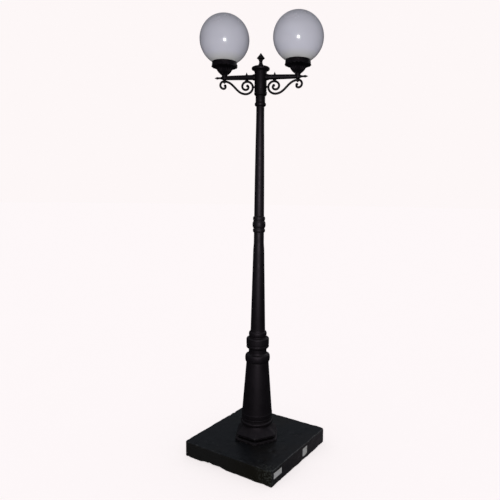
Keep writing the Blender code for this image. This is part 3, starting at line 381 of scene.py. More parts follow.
POST_BLACKS = ((0.0030, 0.0023, 0.0030), (0.0056, 0.0044, 0.0058))
BRACKET_BLACKS = ((0.0024, 0.0019, 0.0028), (0.0044, 0.0036, 0.0052))
CREAMS = ((0.66, 0.65, 0.60), (0.74, 0.73, 0.68))
BROWNS = ((0.060, 0.036, 0.026), (0.090, 0.056, 0.042))
FINISHES = {
    "black_paint": black_paint("black_paint_satin", *POST_BLACKS, 0.52),
    "bracket_paint": black_paint("bracket_paint_satin", *BRACKET_BLACKS, 0.50),
    "slab_paint": slab_paint(),
    "opal_globe": opal_globe(),
    # Zinc plate: spangled grey with dull patches and fine scratches
    "zinc_steel": finish(
        "zinc_steel_dull",
        tone=(480.0, 0.0, 0.8),
        colours=((0.33, 0.34, 0.36), (0.50, 0.51, 0.52)),
        marks=[(((90.0, 6.0), 0.48, 0.70, 0.0, 0.6), (0.17, 0.16, 0.14))],
        rough=((160.0, 5.0), 0.3, 0.7, 0.30, 0.52),
        bumps=[((700.0, 3.0, 0.6, (1.0, 1.0, 8.0)), 0.15, 0.0002)],
        Metallic=1.0,
    ),
    # Rubber with a bloom of talc
    "black_rubber": finish(
        "black_rubber_dusty",
        tone=((140.0, 6.0), 0.35, 0.75, 0.0, 0.5),
        colours=((0.012, 0.012, 0.012), (0.040, 0.039, 0.037)),
        rough=((220.0, 3.0), 0.3, 0.7, 0.62, 0.85),
        bumps=[((900.0, 3.0), 0.2, 0.0003)],
    ),
    # Blank paper label: fibres, a yellowed patch and grime from handling
    "blank_label": finish(
        "blank_label_soiled",
        tone=((900.0, 5.0, 0.7), 0.35, 0.65),
        colours=((0.50, 0.50, 0.50), (0.60, 0.60, 0.60)),
        marks=[(((48.0, 4.0), 0.48, 0.66, 0.0, 0.45), (0.43, 0.41, 0.30)),
               (((75.0, 8.0, 0.7), 0.50, 0.68, 0.0, 0.55), (0.19, 0.19, 0.19))],
        rough=((60.0, 4.0), 0.3, 0.7, 0.50, 0.70),
        bumps=[((60.0, 3.0), 0.25, 0.0006), ((1400.0, 3.0), 0.15, 0.0001)],
    ),
    # Glazed white ceramic with a few iron specks
    "lampholder_ceramic": finish(
        "lampholder_glaze",
        tone=((40.0, 4.0), 0.3, 0.7),
        colours=((0.70, 0.69, 0.65), (0.80, 0.79, 0.76)),
        marks=[((330.0, 0.03, 0.06, 0.6, 0.0), (0.25, 0.19, 0.13))],
        rough=((70.0, 3.0), 0.3, 0.7, 0.10, 0.24),
        bumps=[((90.0, 2.0), 0.10, 0.0005)],
        Coat_Weight=0.5,
        Coat_Roughness=0.06,
    ),
    # White coated lamp glass
    "lamp_glass": finish(
        "lamp_glass_coated",
        tone=((60.0, 4.0), 0.3, 0.7),
        colours=((0.74, 0.73, 0.69), (0.80, 0.79, 0.76)),
        rough=((110.0, 3.0), 0.3, 0.7, 0.14, 0.24),
        bumps=[((300.0, 2.0), 0.04, 0.0002)],
        Subsurface_Weight=0.3,
        Subsurface_Scale=0.005,
    ),
    # Bright rolled aluminium with handling marks
    "lamp_cap_metal": finish(
        "lamp_cap_bright",
        tone=((260.0, 5.0), 0.35, 0.7),
        colours=((0.60, 0.59, 0.56), (0.74, 0.73, 0.70)),
        rough=((180.0, 4.0), 0.3, 0.7, 0.20, 0.38),
        bumps=[((900.0, 2.0), 0.10, 0.0001)],
        Metallic=1.0,
    ),
    "terminal_plastic": moulded_plastic("terminal_plastic_fine", *CREAMS, 0.45),
    "lead_insulation": moulded_plastic("lead_insulation_fine", *BROWNS, 0.42),
}
SLOTS = {entry["node"]: entry["material_slot"] for entry in frame["record"]["subparts"]}
BODIES = {node: body for body, nodes in frame["record"]["behaviour"]["bodies"].items() for node in nodes}


# Meshes


def tidy_mesh(points, faces):
    """A mesh with all its faces turned outward."""
    mesh = bpy.data.meshes.new("mesh")
    mesh.from_pydata([tuple(point) for point in points], [], faces)
    shape = bmesh.new()
    shape.from_mesh(mesh)
    bmesh.ops.recalc_face_normals(shape, faces=shape.faces)
    return filled(mesh, shape)


def filled(mesh, shape):
    """The mesh, with a bmesh put in it. The bmesh is used up."""
    shape.to_mesh(mesh)
    shape.free()
    return mesh


def box(centre, size, rounding=0.0):
    """A box, with its edges rounded by rounding."""
    shape = bmesh.new()
    fit = Matrix.Translation(centre) @ Matrix.Diagonal((*size, 1.0))
    bmesh.ops.create_cube(shape, size=1.0, matrix=fit)
    if rounding:
        bmesh.ops.bevel(shape, geom=shape.edges[:], offset=rounding, segments=3, profile=0.5, affect="EDGES")
    return filled(bpy.data.meshes.new("box"), shape)


def skin(rings, loop):
    """A mesh through rings of points. A ring of one point is a pole. Without loop, open ends are capped."""
    points = [point for ring in rings for point in ring]
    starts = []
    first = 0
    for ring in rings:
        starts.append((first, len(ring)))
        first += len(ring)
    pairs = list(zip(starts, starts[1:]))
    if loop:
        pairs.append((starts[-1], starts[0]))
    faces = []
    for (a, a_count), (b, b_count) in pairs:
        count = max(a_count, b_count)
        for index in range(count):
            after = (index + 1) % count
            corners = (a + index % a_count, a + after % a_count, b + after % b_count, b + index % b_count)
            face = list(dict.fromkeys(corners))
            if len(face) > 2:
                faces.append(face)
    if not loop:
        faces += [list(range(start, start + count)) for start, count in (starts[0], starts[-1]) if count > 1]
    return tidy_mesh(points, faces)


def softened(points, radius, steps=CORNER_STEPS):
    """A closed outline with its corners rounded by up to radius, or by a point's own third number."""
    outline = []
    for index, point in enumerate(points):
        here = Vector(point[:2])
        before = Vector(points[index - 1][:2]) - here
        after = Vector(points[(index + 1) % len(points)][:2]) - here
        own = point[2] if len(point) > 2 else radius
        reach = min(own, 0.48 * before.length, 0.48 * after.length)
        if here.x < 1e-6 or reach < 1e-6:
            outline.append(here)
            continue
        start = here + before.normalized() * reach
        end = here + after.normalized() * reach
        for step in range(steps + 1):
            t = step / steps
            outline.append((1 - t) ** 2 * start + 2 * t * (1 - t) * here + t**2 * end)
    return outline


def arc(centre, radius, start_deg, end_deg, steps):
    """Points on a circle from one angle to another, both ends included."""
    across, up = centre
    angles = [math.radians(start_deg + (end_deg - start_deg) * step / steps) for step in range(steps + 1)]
    return [(across + radius * math.cos(angle), up + radius * math.sin(angle)) for angle in angles]


def bead(radius, height, half_height, bulge, steps=12):
    """The outer half of a rounded ring, from bottom to top, standing out by bulge from radius."""
    angles = [math.pi * (step / steps - 0.5) for step in range(steps + 1)]
    return [(radius + bulge * math.cos(angle), height + half_height * math.sin(angle)) for angle in angles]


def round_point(radius, angle, height=0.0):
    """A point at a radius and an angle about Z."""
    return Vector((radius * math.cos(angle), radius * math.sin(angle), height))


def lathe(outline, segments=ROUND, shape=None):
    """Turn an outline of (radius, height) about Z. shape may change a point by its angle."""
    rings = []
    for radius, height in outline:
        if radius < 1e-6:
            rings.append([Vector((0.0, 0.0, height))])
            continue
        ring = []
        for step in range(segments):
            angle = math.tau * step / segments
            r, z = shape(radius, height, angle) if shape else (radius, height)
            ring.append(round_point(r, angle, z))
        rings.append(ring)
    from_pole_to_pole = len(rings[0]) == 1 and len(rings[-1]) == 1
    return skin(rings, loop=not from_pole_to_pole)


def rod(radius, bottom, top, segments=SMALL_ROUND):
    """A plain round rod on Z, used as a tool."""
    return lathe([(0.0, bottom), (radius, bottom), (radius, top), (0.0, top)], segments)


def place(x=0.0, y=0.0, z=0.0):
    """Moves a shape to a place."""
    return Matrix.Translation((x, y, z))


def moved(mesh, matrix):
    """The mesh, moved."""
    mesh.transform(matrix)
    return mesh


def along_x(side):
    """Lays a shape made on Z along the arm of that side."""
    return Matrix.Rotation(side * math.pi / 2, 4, "Y")


def outward(angle_deg):
    """Lays a shape made on Z so that it points away from the Z axis at an angle."""
    return Matrix.Rotation(math.radians(angle_deg), 4, "Z") @ Matrix.Rotation(math.pi / 2, 4, "Y")


def shown(name, data):
    """A new object in the scene."""
    thing = bpy.data.objects.new(name, data)
    bpy.context.scene.collection.objects.link(thing)
    return thing


def carved(mesh, cuts, additions=()):
    """The mesh with the additions joined to it and then the cuts taken away. The tools are used up."""
    worked = shown("worked", mesh)
    tools = [("UNION", tool) for tool in additions] + [("DIFFERENCE", tool) for tool in cuts]
    helpers = []
    for operation, tool in tools:
        helpers.append(shown("tool", tool))
        modifier = worked.modifiers.new("work", "BOOLEAN")
        modifier.operation = operation
        modifier.object = helpers[-1]
    bpy.context.view_layer.update()
    result = bpy.data.meshes.new_from_object(worked.evaluated_get(bpy.context.evaluated_depsgraph_get()))
    for thing in [worked] + helpers:
        bpy.data.objects.remove(thing)
    return result


def piece(node, mesh, at=(0.0, 0.0, 0.0), name=""):
    """A finished piece that stands for a CAD node, with the node's material and on the node's body."""
    name = name or f"{node}_fine"
    slot = SLOTS[node]
    body = BODIES[node]
    nodes = [node]
    mesh.name = name
    mesh.materials.clear()
    mesh.materials.append(FINISHES[slot])
    mesh.shade_smooth()
    mesh.set_sharp_from_angle(angle=SHARP_ANGLE)
    thing = shown(name, mesh)
    thing.location = at
    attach(thing, body)
    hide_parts(*nodes)
    return thing


# Slab, labels and foot

SLAB_CORNER = 0.020
SLAB_SHARP_CORNER = 0.007
SLAB_EDGE = 0.006
DUCT_RADIUS = 0.022
BOLT_CIRCLE = 0.085
COUNTERBORE = (0.013, 0.012)
BOLT_HOLE = 0.0056
# A long chip out of the lower edge on the -Y side: its middle along X, half its length, its height
LONG_CHIP = (-0.088, 0.072, 0.0070)
EDGE_WOBBLE = 0.0035
SLAB_CUTS = 63


def spread(t):
    """Brings evenly spaced places from -1 to 1 closer together towards both ends."""
    return math.sin(t * math.pi / 2)


def slab_point(x, y, z):
    """A point of a unit cube's surface, brought to the worn, rounded slab."""
    flat = Vector((SLAB_SIDE / 2 * spread(x), SLAB_LENGTH / 2 * spread(y)))
    height = SLAB_TOP * (0.5 + 0.5 * spread(z))
    corner = SLAB_SHARP_CORNER if flat.x > 0.0 > flat.y else SLAB_CORNER
    reach = Vector((SLAB_SIDE / 2 - corner, SLAB_LENGTH / 2 - corner))
    core = Vector((max(-reach.x, min(reach.x, flat.x)), max(-reach.y, min(reach.y, flat.y))))
    out = flat - core
    if out.length > 0.0:
        out = out.normalized() * min(out.length, corner)
        flat = core + out
    inside = out.length - corner
    way = out.normalized() if out.length > 0.0 else Vector((0.0, 0.0))
    point = Vector((flat.x, flat.y, height))
    wear = SLAB_EDGE * (1.0 + 0.7 * noise.noise(point * 21.0) + 0.5 * noise.noise(point * 70.0))
    across = min(inside, -wear)
    up = max(wear, min(SLAB_TOP - wear, height))
    beyond = Vector((inside - across, height - up))
    if beyond.length > wear:
        beyond = beyond.normalized() * wear
        flat += way * (across + beyond.x - inside)
        height = up + beyond.y
    point = Vector((flat.x, flat.y, height))
    chip = max(0.0, noise.noise(point * 34.0 + Vector((5.0, 2.0, 1.0))) - 0.30) * 0.012
    near_edge = min(1.0, beyond.length / wear) ** 3
    sunk = 0.0012 * max(0.0, noise.noise(point * 9.0)) if inside > -wear else 0.0
    outwards = Vector((way.x * abs(beyond.x), way.y * abs(beyond.x), beyond.y))
    if outwards.length > 0.0:
        point -= outwards.normalized() * chip * near_edge
    point -= Vector((way.x, way.y, 0.0)) * sunk
    low_down = max(0.0, 1.0 - point.z / (SLAB_TOP / 2))
    point.z += raised_edge(point) * low_down * min(1.0, max(0.0, 1.0 + inside / 0.03))
    return point + SLAB_OFFSET


def raised_edge(point):
    """How far the slab's lower edge is broken away upward at a point on its side."""
    wobble = EDGE_WOBBLE * max(0.0, noise.noise(Vector((point.x * 17.0, point.y * 17.0, 2.3))))
    centre, half, deep = LONG_CHIP
    near = max(0.0, 1.0 - ((point.x - centre) / half) ** 2) if point.y < 0.0 else 0.0
    return wobble + deep * min(1.0, 2.0 * near)


def at_bolts(make_tool):
    """A tool at each of the three bolts in the slab and the foot."""
    tools = []
    for index in range(3):
        spot = round_point(BOLT_CIRCLE, math.radians(90.0 + 120.0 * index))
        tools.append(moved(make_tool(), place(*spot)))
    return tools


def make_slab():
    """The slab: rounded, chipped edges, its duct and its counterbored bolt holes."""
    shape = bmesh.new()
    bmesh.ops.create_cube(shape, size=2.0)
    bmesh.ops.subdivide_edges(shape, edges=shape.edges[:], cuts=SLAB_CUTS, use_grid_fill=True)
    for vertex in shape.verts:
        vertex.co = slab_point(*vertex.co)
    bmesh.ops.recalc_face_normals(shape, faces=shape.faces)
    mesh = filled(bpy.data.meshes.new("slab"), shape)
    wide, deep = COUNTERBORE
    bolt_way = [(0.0, -1.0), (wide, -1.0), (wide, deep), (BOLT_HOLE, deep), (BOLT_HOLE, 1.0), (0.0, 1.0)]
    holes = at_bolts(lambda: lathe(bolt_way, SMALL_ROUND))
    mesh = carved(mesh, [rod(DUCT_RADIUS, -1.0, 1.0), *holes])
    piece("base_slab", moved(mesh, SLAB_TURN), name="slab_fine")


# Labels: place along the side, height, width, height of the label, and how deep its lower edge is torn
LABELS = {
    "label_blank_wide": (-0.215, 0.0515, 0.070, 0.029, 0.0),
    "label_blank_tall": (0.052, 0.0425, 0.046, 0.046, 0.010),
}
LABEL_THICK = 0.0004
LABEL_STEPS = 24


def label_point(label, lift, u, v):
    """A point of a label's back or front, at u along it and v up it, each from 0 to 1."""
    along, height, wide, tall, torn = label
    tears = 0.45 + 0.9 * noise.noise(Vector((u * 5.0, tall * 40.0, 0.0)))
    tears += 0.35 * noise.noise(Vector((u * 19.0, 3.0, 0.0)))
    bottom = max(0.0, torn * tears) * (1.0 - v)
    curl = 0.0006 * max(0.0, u + v - 1.6) + 0.00012 * noise.noise(Vector((u * 4.0, v * 4.0, along)))
    face = SLAB_OFFSET.x + SLAB_SIDE / 2 + GAP
    out = face + max(0.0, curl) + lift
    return Vector((out, along + (u - 0.5) * wide, height + (v - 0.5) * tall + bottom))


def make_labels():
    """Two blank stickers, thin and slightly lifted at a corner; the tall one is torn along the bottom."""
    parts = [step / LABEL_STEPS for step in range(LABEL_STEPS + 1)]
    for name, label in LABELS.items():
        back, front = ([[label_point(label, lift, u, v) for u in parts] for v in parts]
                       for lift in (0.0, LABEL_THICK))
        piece(name, moved(sheet(back, front), SLAB_TURN))


def sheet(back, front):
    """A closed thin sheet from two grids of points, one behind the other."""
    rows = len(back)
    columns = len(back[0])
    points = [point for grid in (back, front) for row in grid for point in row]

    def at(layer, row, column):
        return layer * rows * columns + row * columns + column

    faces = []
    for row in range(rows - 1):
        for column in range(columns - 1):
            for layer in (0, 1):
                faces.append([at(layer, row, column), at(layer, row, column + 1),
                              at(layer, row + 1, column + 1), at(layer, row + 1, column)])
    rim = [(0, column) for column in range(columns - 1)]
    rim += [(row, columns - 1) for row in range(rows - 1)]
    rim += [(rows - 1, column) for column in range(columns - 1, 0, -1)]
    rim += [(row, 0) for row in range(rows - 1, 0, -1)]
    for here, after in zip(rim, rim[1:] + rim[:1]):
        faces.append([at(0, *here), at(0, *after), at(1, *after), at(1, *here)])
    return tidy_mesh(points, faces)


# Foot: half the width across its flats, and the round parts above
FLANGE_FLATS = 0.110
SKIRT_FLATS = 0.104
FOOT_WAIST = 0.076
FOOT_LIP = 0.087
FOOT_SEAT = 0.0815
FOOT_SEGMENTS = 192
HEXAGON_SHARPNESS = 42.0


def hexagon(flats, roundness, angle):
    """The radius at an angle of a softened hexagon that becomes a circle as roundness goes to 1."""
    power = HEXAGON_SHARPNESS
    total = sum(abs(math.cos(angle - math.radians(30.0 + 60.0 * side))) ** power for side in range(3))
    return flats * ((1.0 - roundness) / total ** (1.0 / power) + roundness)


def make_foot():
    """The hexagonal foot: flange, undercut, skirt, a concave flare that turns round, waist and lip."""
    base, top = ends("post_foot")
    seat = ends("lower_shaft")[0] - GAP
    skirt_start = base + 0.034
    skirt_end = 0.153
    sunk = SKIRT_FLATS - 0.0070
    hexagonal = [(FLANGE_FLATS - 0.001, 0.0), (FLANGE_FLATS, 0.001), (FLANGE_FLATS, 0.0085)]
    hexagonal += [(FLANGE_FLATS - 0.0008, 0.0105), (FLANGE_FLATS - 0.0030, 0.0120)]
    hexagonal += [(SKIRT_FLATS - 0.0060, 0.0125), (sunk, 0.0135), (sunk, 0.0195)]
    hexagonal += [(SKIRT_FLATS - 0.0060, 0.0205), (SKIRT_FLATS - 0.0005, 0.0235)]
    hexagonal += [(SKIRT_FLATS, 0.0250), (SKIRT_FLATS, 0.0330)]
    outer = [(flats, 0.0, base + above) for flats, above in hexagonal]
    steps = 24
    for step in range(1, steps + 1):
        t = step / steps
        flats = FOOT_WAIST + (SKIRT_FLATS - FOOT_WAIST) * (1.0 - t) ** 1.35
        outer.append((flats, min(1.0, t * 1.05) ** 1.2, skirt_start + (skirt_end - skirt_start) * t))
    outer.append((FOOT_WAIST - 0.0015, 1.0, 0.1565))
    outer.append((FOOT_WAIST - 0.0015, 1.0, 0.1590))
    outer.append((FOOT_WAIST + 0.0008, 1.0, 0.1602))
    lip = bead(FOOT_LIP - 0.008, 0.170, 0.009, 0.008)
    collar = FOOT_SEAT - WALL_LOWER - FIT - 0.002
    bore = 0.060
    hollow = 0.0675
    hollow_top = 0.120
    round_part = [*lip, (FOOT_SEAT + 0.0010, 0.1800), (FOOT_SEAT, 0.1808), (FOOT_SEAT, seat)]
    round_part += [(collar, seat), (collar, top), (bore, top)]
    round_part += [(bore, hollow_top), (hollow, hollow_top), (hollow, base)]
    outer += [(radius, 1.0, height) for radius, height in round_part]
    rings = []
    for flats, roundness, height in outer:
        ring = []
        for step in range(FOOT_SEGMENTS):
            angle = math.tau * step / FOOT_SEGMENTS
            ring.append(round_point(hexagon(flats, roundness, angle), angle, height))
        rings.append(ring)
    mesh = carved(skin(rings, loop=True), at_bolts(lambda: rod(BOLT_HOLE, 0.0, base + 0.025)))
    piece("post_foot", moved(mesh, SLAB_TURN), name="foot_fine")


# Column: the radii where its lengths meet their collars, and the walls

LOWER_TOP = 0.0591
MIDDLE_BASE = 0.0386
MIDDLE_TOP = 0.0262
UPPER_BASE = 0.0257
UPPER_TOP = 0.0204
WALL_LOWER = 0.005
WALL_UPPER = 0.0035
FIT = 0.0006
SPIGOT_LENGTH = 0.015


def turned_piece(node, outline, radius=0.0010, segments=ROUND):
    """A turned piece for a CAD node, on the node's own axis, with its corners softened."""
    centre = middle(node)
    return piece(node, lathe(softened(outline, radius), segments), (centre.x, centre.y, 0.0))


def make_lower_shaft():
    """The tapered first length, with a plain band at its base and a fine step above the band."""
    base, top = ends("lower_shaft")
    groove = FOOT_SEAT - 0.0012
    outer = [(FOOT_SEAT, base), (FOOT_SEAT, 0.1935), (groove, 0.1945), (groove, 0.1965)]
    outer += [(FOOT_SEAT, 0.1975), (FOOT_SEAT, 0.2180), (FOOT_SEAT - 0.0014, 0.2200), (LOWER_TOP, top)]
    inner = [(radius - WALL_LOWER, height) for radius, height in reversed(outer)]
    turned_piece("lower_shaft", outer + inner, radius=0.0006)


def make_lower_collar():
    """The heavy collar: a torus, a neck, a broad ring with a groove round it, and a small ring."""
    low, high = ends("lower_collar")
    base = low + SPIGOT_LENGTH
    top = high - SPIGOT_LENGTH
    below = LOWER_TOP - WALL_LOWER - FIT - 0.001
    above = MIDDLE_BASE - WALL_LOWER - FIT
    bore = 0.027
    outer = [(below, low), (below, base), (0.0596, base)]
    outer += bead(0.0600, 0.517, 0.0195, 0.0060, 16)[1:-1]
    outer += [(0.0540, 0.5375), (0.0490, 0.5405), (0.0475, 0.5445, 0.004), (0.0475, 0.5665, 0.004)]
    outer += [(0.0555, 0.5715), (0.0596, 0.575, 0.003), (0.0600, 0.5825), (0.0582, 0.585)]
    outer += [(0.0582, 0.5885), (0.0600, 0.591)]
    outer += [(0.0600, 0.622, 0.003), (0.0560, 0.6263), (0.0440, 0.6275), (0.0435, 0.635)]
    outer += bead(0.0440, 0.6465, 0.0115, 0.0035)[1:-1]
    outer += [(0.0400, 0.659), (0.0390, 0.662), (0.0390, top), (above, top), (above, high)]
    turned_piece("lower_collar", outer + [(bore, high), (bore, low)])


def make_middle_shaft():
    """The long tapered middle length, which steps in to a neck."""
    base, top = ends("middle_shaft")
    outer = [(MIDDLE_BASE, base), (0.0338, 0.877, 0.05), (0.0301, 1.036, 0.05), (0.0290, 1.094, 0.012)]
    bore = MIDDLE_TOP - WALL_UPPER
    outer += [(0.0264, 1.124, 0.010), (MIDDLE_TOP, 1.146), (MIDDLE_TOP, top), (bore, top), (bore, 1.124)]
    turned_piece("middle_shaft", outer + [(MIDDLE_BASE - WALL_LOWER, base)], radius=0.0005)


def make_mid_collar():
    """The three-ring collar between the middle and the upper shaft."""
    low, high = ends("mid_collar")
    base = low + SPIGOT_LENGTH
    top = high - SPIGOT_LENGTH
    below = MIDDLE_TOP - WALL_UPPER - FIT
    above = UPPER_BASE - WALL_UPPER - FIT
    bore = 0.0175
    outer = [(below, low), (below, base), (0.0286, base)]
    outer += bead(0.0292, 1.1945, 0.0080, 0.0026)[1:]
    outer += [(0.0288, 1.2045)]
    outer += bead(0.0295, 1.225, 0.0165, 0.0044, 16)
    outer += [(0.0291, 1.2443)]
    outer += bead(0.0295, 1.256, 0.0090, 0.0020)
    outer += [(0.0259, top - 0.002), (UPPER_BASE, top), (above, top), (above, high)]
    turned_piece("mid_collar", outer + [(bore, high), (bore, low)], radius=0.0005)


def make_upper_shaft():
    """The slim upper length."""
    base, top = ends("upper_shaft")
    outer = [(UPPER_BASE, base), (0.0245, 1.451, 0.05), (0.0228, 1.603, 0.05), (0.0206, 1.752, 0.03)]
    outer.append((UPPER_TOP, top))
    inner = [(point[0] - WALL_UPPER, *point[1:]) for point in reversed(outer)]
    turned_piece("upper_shaft", outer + inner, radius=0.0005)


def make_head_spigot():
    """The ring and neck on top of the column, with the spigot that the hub turns on."""
    low, high = ends("head_spigot")
    base = low + SPIGOT_LENGTH
    neck_top = ends("hub")[0] - GAP
    below = UPPER_TOP - WALL_UPPER - FIT
    bore = 0.0105
    spigot = 0.0227
    hole = 0.0086
    shelf = high - 0.008
    outer = [(below, low), (below, base), (0.0218, base)]
    outer += bead(0.0225, 1.8315, 0.0095, 0.0061, 16)
    outer += [(0.0240, 1.8435), (0.0243, 1.846), (0.0243, neck_top), (spigot, neck_top), (spigot, high)]
    outer += [(hole, high), (hole, shelf), (bore, shelf), (bore, low)]
    turned_piece("head_spigot", outer, radius=0.0006)


# Head

HUB_RADIUS = 0.0308
HUB_INNER = 0.0235
ARM_BORE = 0.0065
ARM_SPIGOT = 0.0098
ARM_ROOT = 0.0128
ARM_END_RADIUS = 0.0106
ARM_FLANGE = 0.0158
STUD_REACH = middle("scroll_stud_right").x
SET_SCREW_HEIGHT = middle("hub_set_screw_1").z
SET_SCREW_ANGLES = (-90.0, 30.0, 150.0)
SCREW_SLOT = (0.02, 0.0009, 0.0022)


def make_hub():
    """The hub: a foot moulding, a plain barrel with fine turned lines, and a rolled top edge."""
    base, top = ends("hub")
    ledge = 0.0320
    outer = [(0.0262, base), (0.0300, base + 0.004, 0.002), (ledge, base + 0.0075, 0.0015)]
    outer.append((ledge, base + 0.011))
    outer += [(HUB_RADIUS, base + 0.0130), (HUB_RADIUS, base + 0.0300), (HUB_RADIUS - 0.0005, base + 0.0306)]
    outer += [(HUB_RADIUS, base + 0.0312), (HUB_RADIUS, top - 0.0100), (HUB_RADIUS - 0.0005, top - 0.0094)]
    outer += [(HUB_RADIUS, top - 0.0088), (HUB_RADIUS, top, 0.001), (HUB_INNER, top), (HUB_INNER, base)]
    mesh = lathe(softened(outer, 0.0005))
    holes = [moved(rod(ARM_SPIGOT + GAP, -0.05, 0.05), place(z=ARM_HEIGHT) @ along_x(1))]
    for angle in SET_SCREW_ANGLES:
        holes.append(moved(rod(0.0033, 0.015, 0.05, HOLE_ROUND), place(z=SET_SCREW_HEIGHT) @ outward(angle)))
    piece("hub", carved(mesh, holes))


def make_set_screws():
    """Slotted pan-head screws in the hub."""
    inner_end = HUB_INNER + GAP
    start = HUB_RADIUS + GAP
    end = HUB_RADIUS + 0.0035
    outline = [(0.0, inner_end), (0.0030, inner_end), (0.0030, start), (0.0042, start)]
    outline += [(0.0042, end - 0.0012, 0.0012), (0.0030, end, 0.001), (0.0, end)]
    for index, angle in enumerate(SET_SCREW_ANGLES):
        slot = box((0, 0, end), SCREW_SLOT)
        mesh = carved(lathe(softened(outline, 0.0003), SMALL_ROUND), [slot])
        piece(f"hub_set_screw_{index + 1}", moved(mesh, place(z=SET_SCREW_HEIGHT) @ outward(angle)))


def make_arm(side_name, side):
    """The tapered arm with its saddle flange, a roll behind the flange, and the boss under the cup."""
    lie = place(z=ARM_HEIGHT) @ along_x(side)
    at_cup = place(side * CUP_REACH)
    end = 0.2020
    profile = [(0.0, 0.024), (ARM_FLANGE, 0.024), (ARM_FLANGE, 0.0350, 0.001), (0.0146, 0.0362)]
    profile += [(0.0150, 0.0385, 0.001), (0.0142, 0.0402), (ARM_ROOT, 0.0412), (0.0112, 0.1500)]
    profile += [(ARM_END_RADIUS, 0.1745), (ARM_END_RADIUS, 0.1975, 0.002), (0.0075, end), (0.0, end)]
    mesh = moved(lathe(softened(profile, 0.0008), SMALL_ROUND + 16), lie)
    mesh = carved(mesh, [moved(rod(HUB_RADIUS + GAP, -0.03, 0.03, ROUND), place(z=ARM_HEIGHT))])
    spigot = moved(rod(ARM_SPIGOT, 0.0185, 0.045), lie @ Matrix.Rotation(OFF_EDGE, 4, "Z"))
    bottom = 1.9544
    top = ends(f"cup_{side_name}")[0] - GAP
    boss = [(0.0, bottom), (0.0105, bottom), (0.0125, bottom + 0.002, 0.001), (0.0125, top - 0.0015)]
    boss = lathe(softened(boss + [(0.0135, top), (0.0, top)], 0.0006), SMALL_ROUND)
    hole = 0.0033
    bore_end = 0.193
    bore = [(0.0, 0.0), (ARM_BORE, 0.0), (ARM_BORE, bore_end), (hole, bore_end), (hole, 0.22), (0.0, 0.22)]
    bore = moved(lathe(bore, SMALL_ROUND), lie @ Matrix.Rotation(3 * OFF_EDGE, 4, "Z"))
    nipple_hole = moved(rod(0.0053, ARM_HEIGHT + 0.002, 2.0, HOLE_ROUND), at_cup)
    nut_hole = moved(rod(STUD_HOLE, BELOW_ARM, ARM_HEIGHT - 0.002, HOLE_ROUND), at_cup)
    stud_hole = moved(rod(STUD_HOLE, BELOW_ARM, 2.0, HOLE_ROUND), place(side * STUD_REACH))
    mesh = carved(mesh, [bore, nipple_hole, nut_hole, stud_hole], [spigot, moved(boss, at_cup)])
    piece(f"arm_{side_name}", mesh)


def make_arm_tip(side_name, side):
    """The spear at the end of the arm."""
    start = 0.2023
    end = 0.240
    outline = [(0.0, 0.1935), (0.0030, 0.1935), (0.0030, start), (0.0072, start), (0.0068, 0.2040)]
    outline += [(0.0050, 0.2080, 0.002), (0.0046, 0.2185, 0.002), (0.0062, 0.2238, 0.0015)]
    outline += [(0.0060, 0.2272, 0.0015), (0.0030, 0.2345, 0.002), (0.0006, end - 0.0004), (0.0, end)]
    mesh = lathe(softened(outline, 0.0003), TINY_ROUND)
    piece(f"arm_tip_{side_name}", moved(mesh, place(z=ARM_HEIGHT) @ along_x(side)))


# Scrolls

SCROLL_BAR = 0.0056
SCROLL_BALL = 0.0072
VOLUTE_CENTRE = Vector((0.073, 1.9190))
VOLUTE_SQUASH = 0.92
VOLUTE_DEG = (138.0, 633.0)
VOLUTE_RADII = (0.0072, 0.0388)
HOOK_CENTRE = Vector((0.1915, 1.930))
HOOK_RADIUS = 0.018
CURL_RADIUS = 0.0085
CURL_DEG = (-95.0, -222.0)
LINK_HANDLES = (0.053, 0.055)
NUT_SEAT = 1.9432
SCROLL_SIDES = 24
STUD_HOLE = 0.0025
# A height under the arm and its clips, where holes start
BELOW_ARM = 1.936


def scroll_route():
    """The centreline of a scroll as (reach, height): the volute, the S and the hook with its curl."""
    volute = []
    volute_steps = 120
    for step in range(volute_steps + 1):
        t = step / volute_steps
        angle = math.radians(VOLUTE_DEG[0] + (VOLUTE_DEG[1] - VOLUTE_DEG[0]) * t)
        radius = VOLUTE_RADII[0] + (VOLUTE_RADII[1] - VOLUTE_RADII[0]) * t
        offset = Vector((radius * math.cos(angle), VOLUTE_SQUASH * radius * math.sin(angle)))
        volute.append(VOLUTE_CENTRE + offset)
    start = volute[-1]
    end = HOOK_CENTRE + Vector((0.0, HOOK_RADIUS))
    start_handle = start + Vector((LINK_HANDLES[0], 0.0))
    end_handle = end - Vector((LINK_HANDLES[1], 0.0))
    link = []
    link_steps = 40
    for step in range(1, link_steps):
        t = step / link_steps
        s = 1.0 - t
        link.append(s**3 * start + 3 * s**2 * t * start_handle + 3 * s * t**2 * end_handle + t**3 * end)
    hook = arc(HOOK_CENTRE, HOOK_RADIUS, 90.0, CURL_DEG[0], 44)
    turn = math.radians(CURL_DEG[0])
    curl_centre = HOOK_CENTRE + (HOOK_RADIUS - CURL_RADIUS) * Vector((math.cos(turn), math.sin(turn)))
    curl = arc(curl_centre, CURL_RADIUS, *CURL_DEG, 26)
    return volute + link + [Vector(point) for point in hook + curl[1:]]


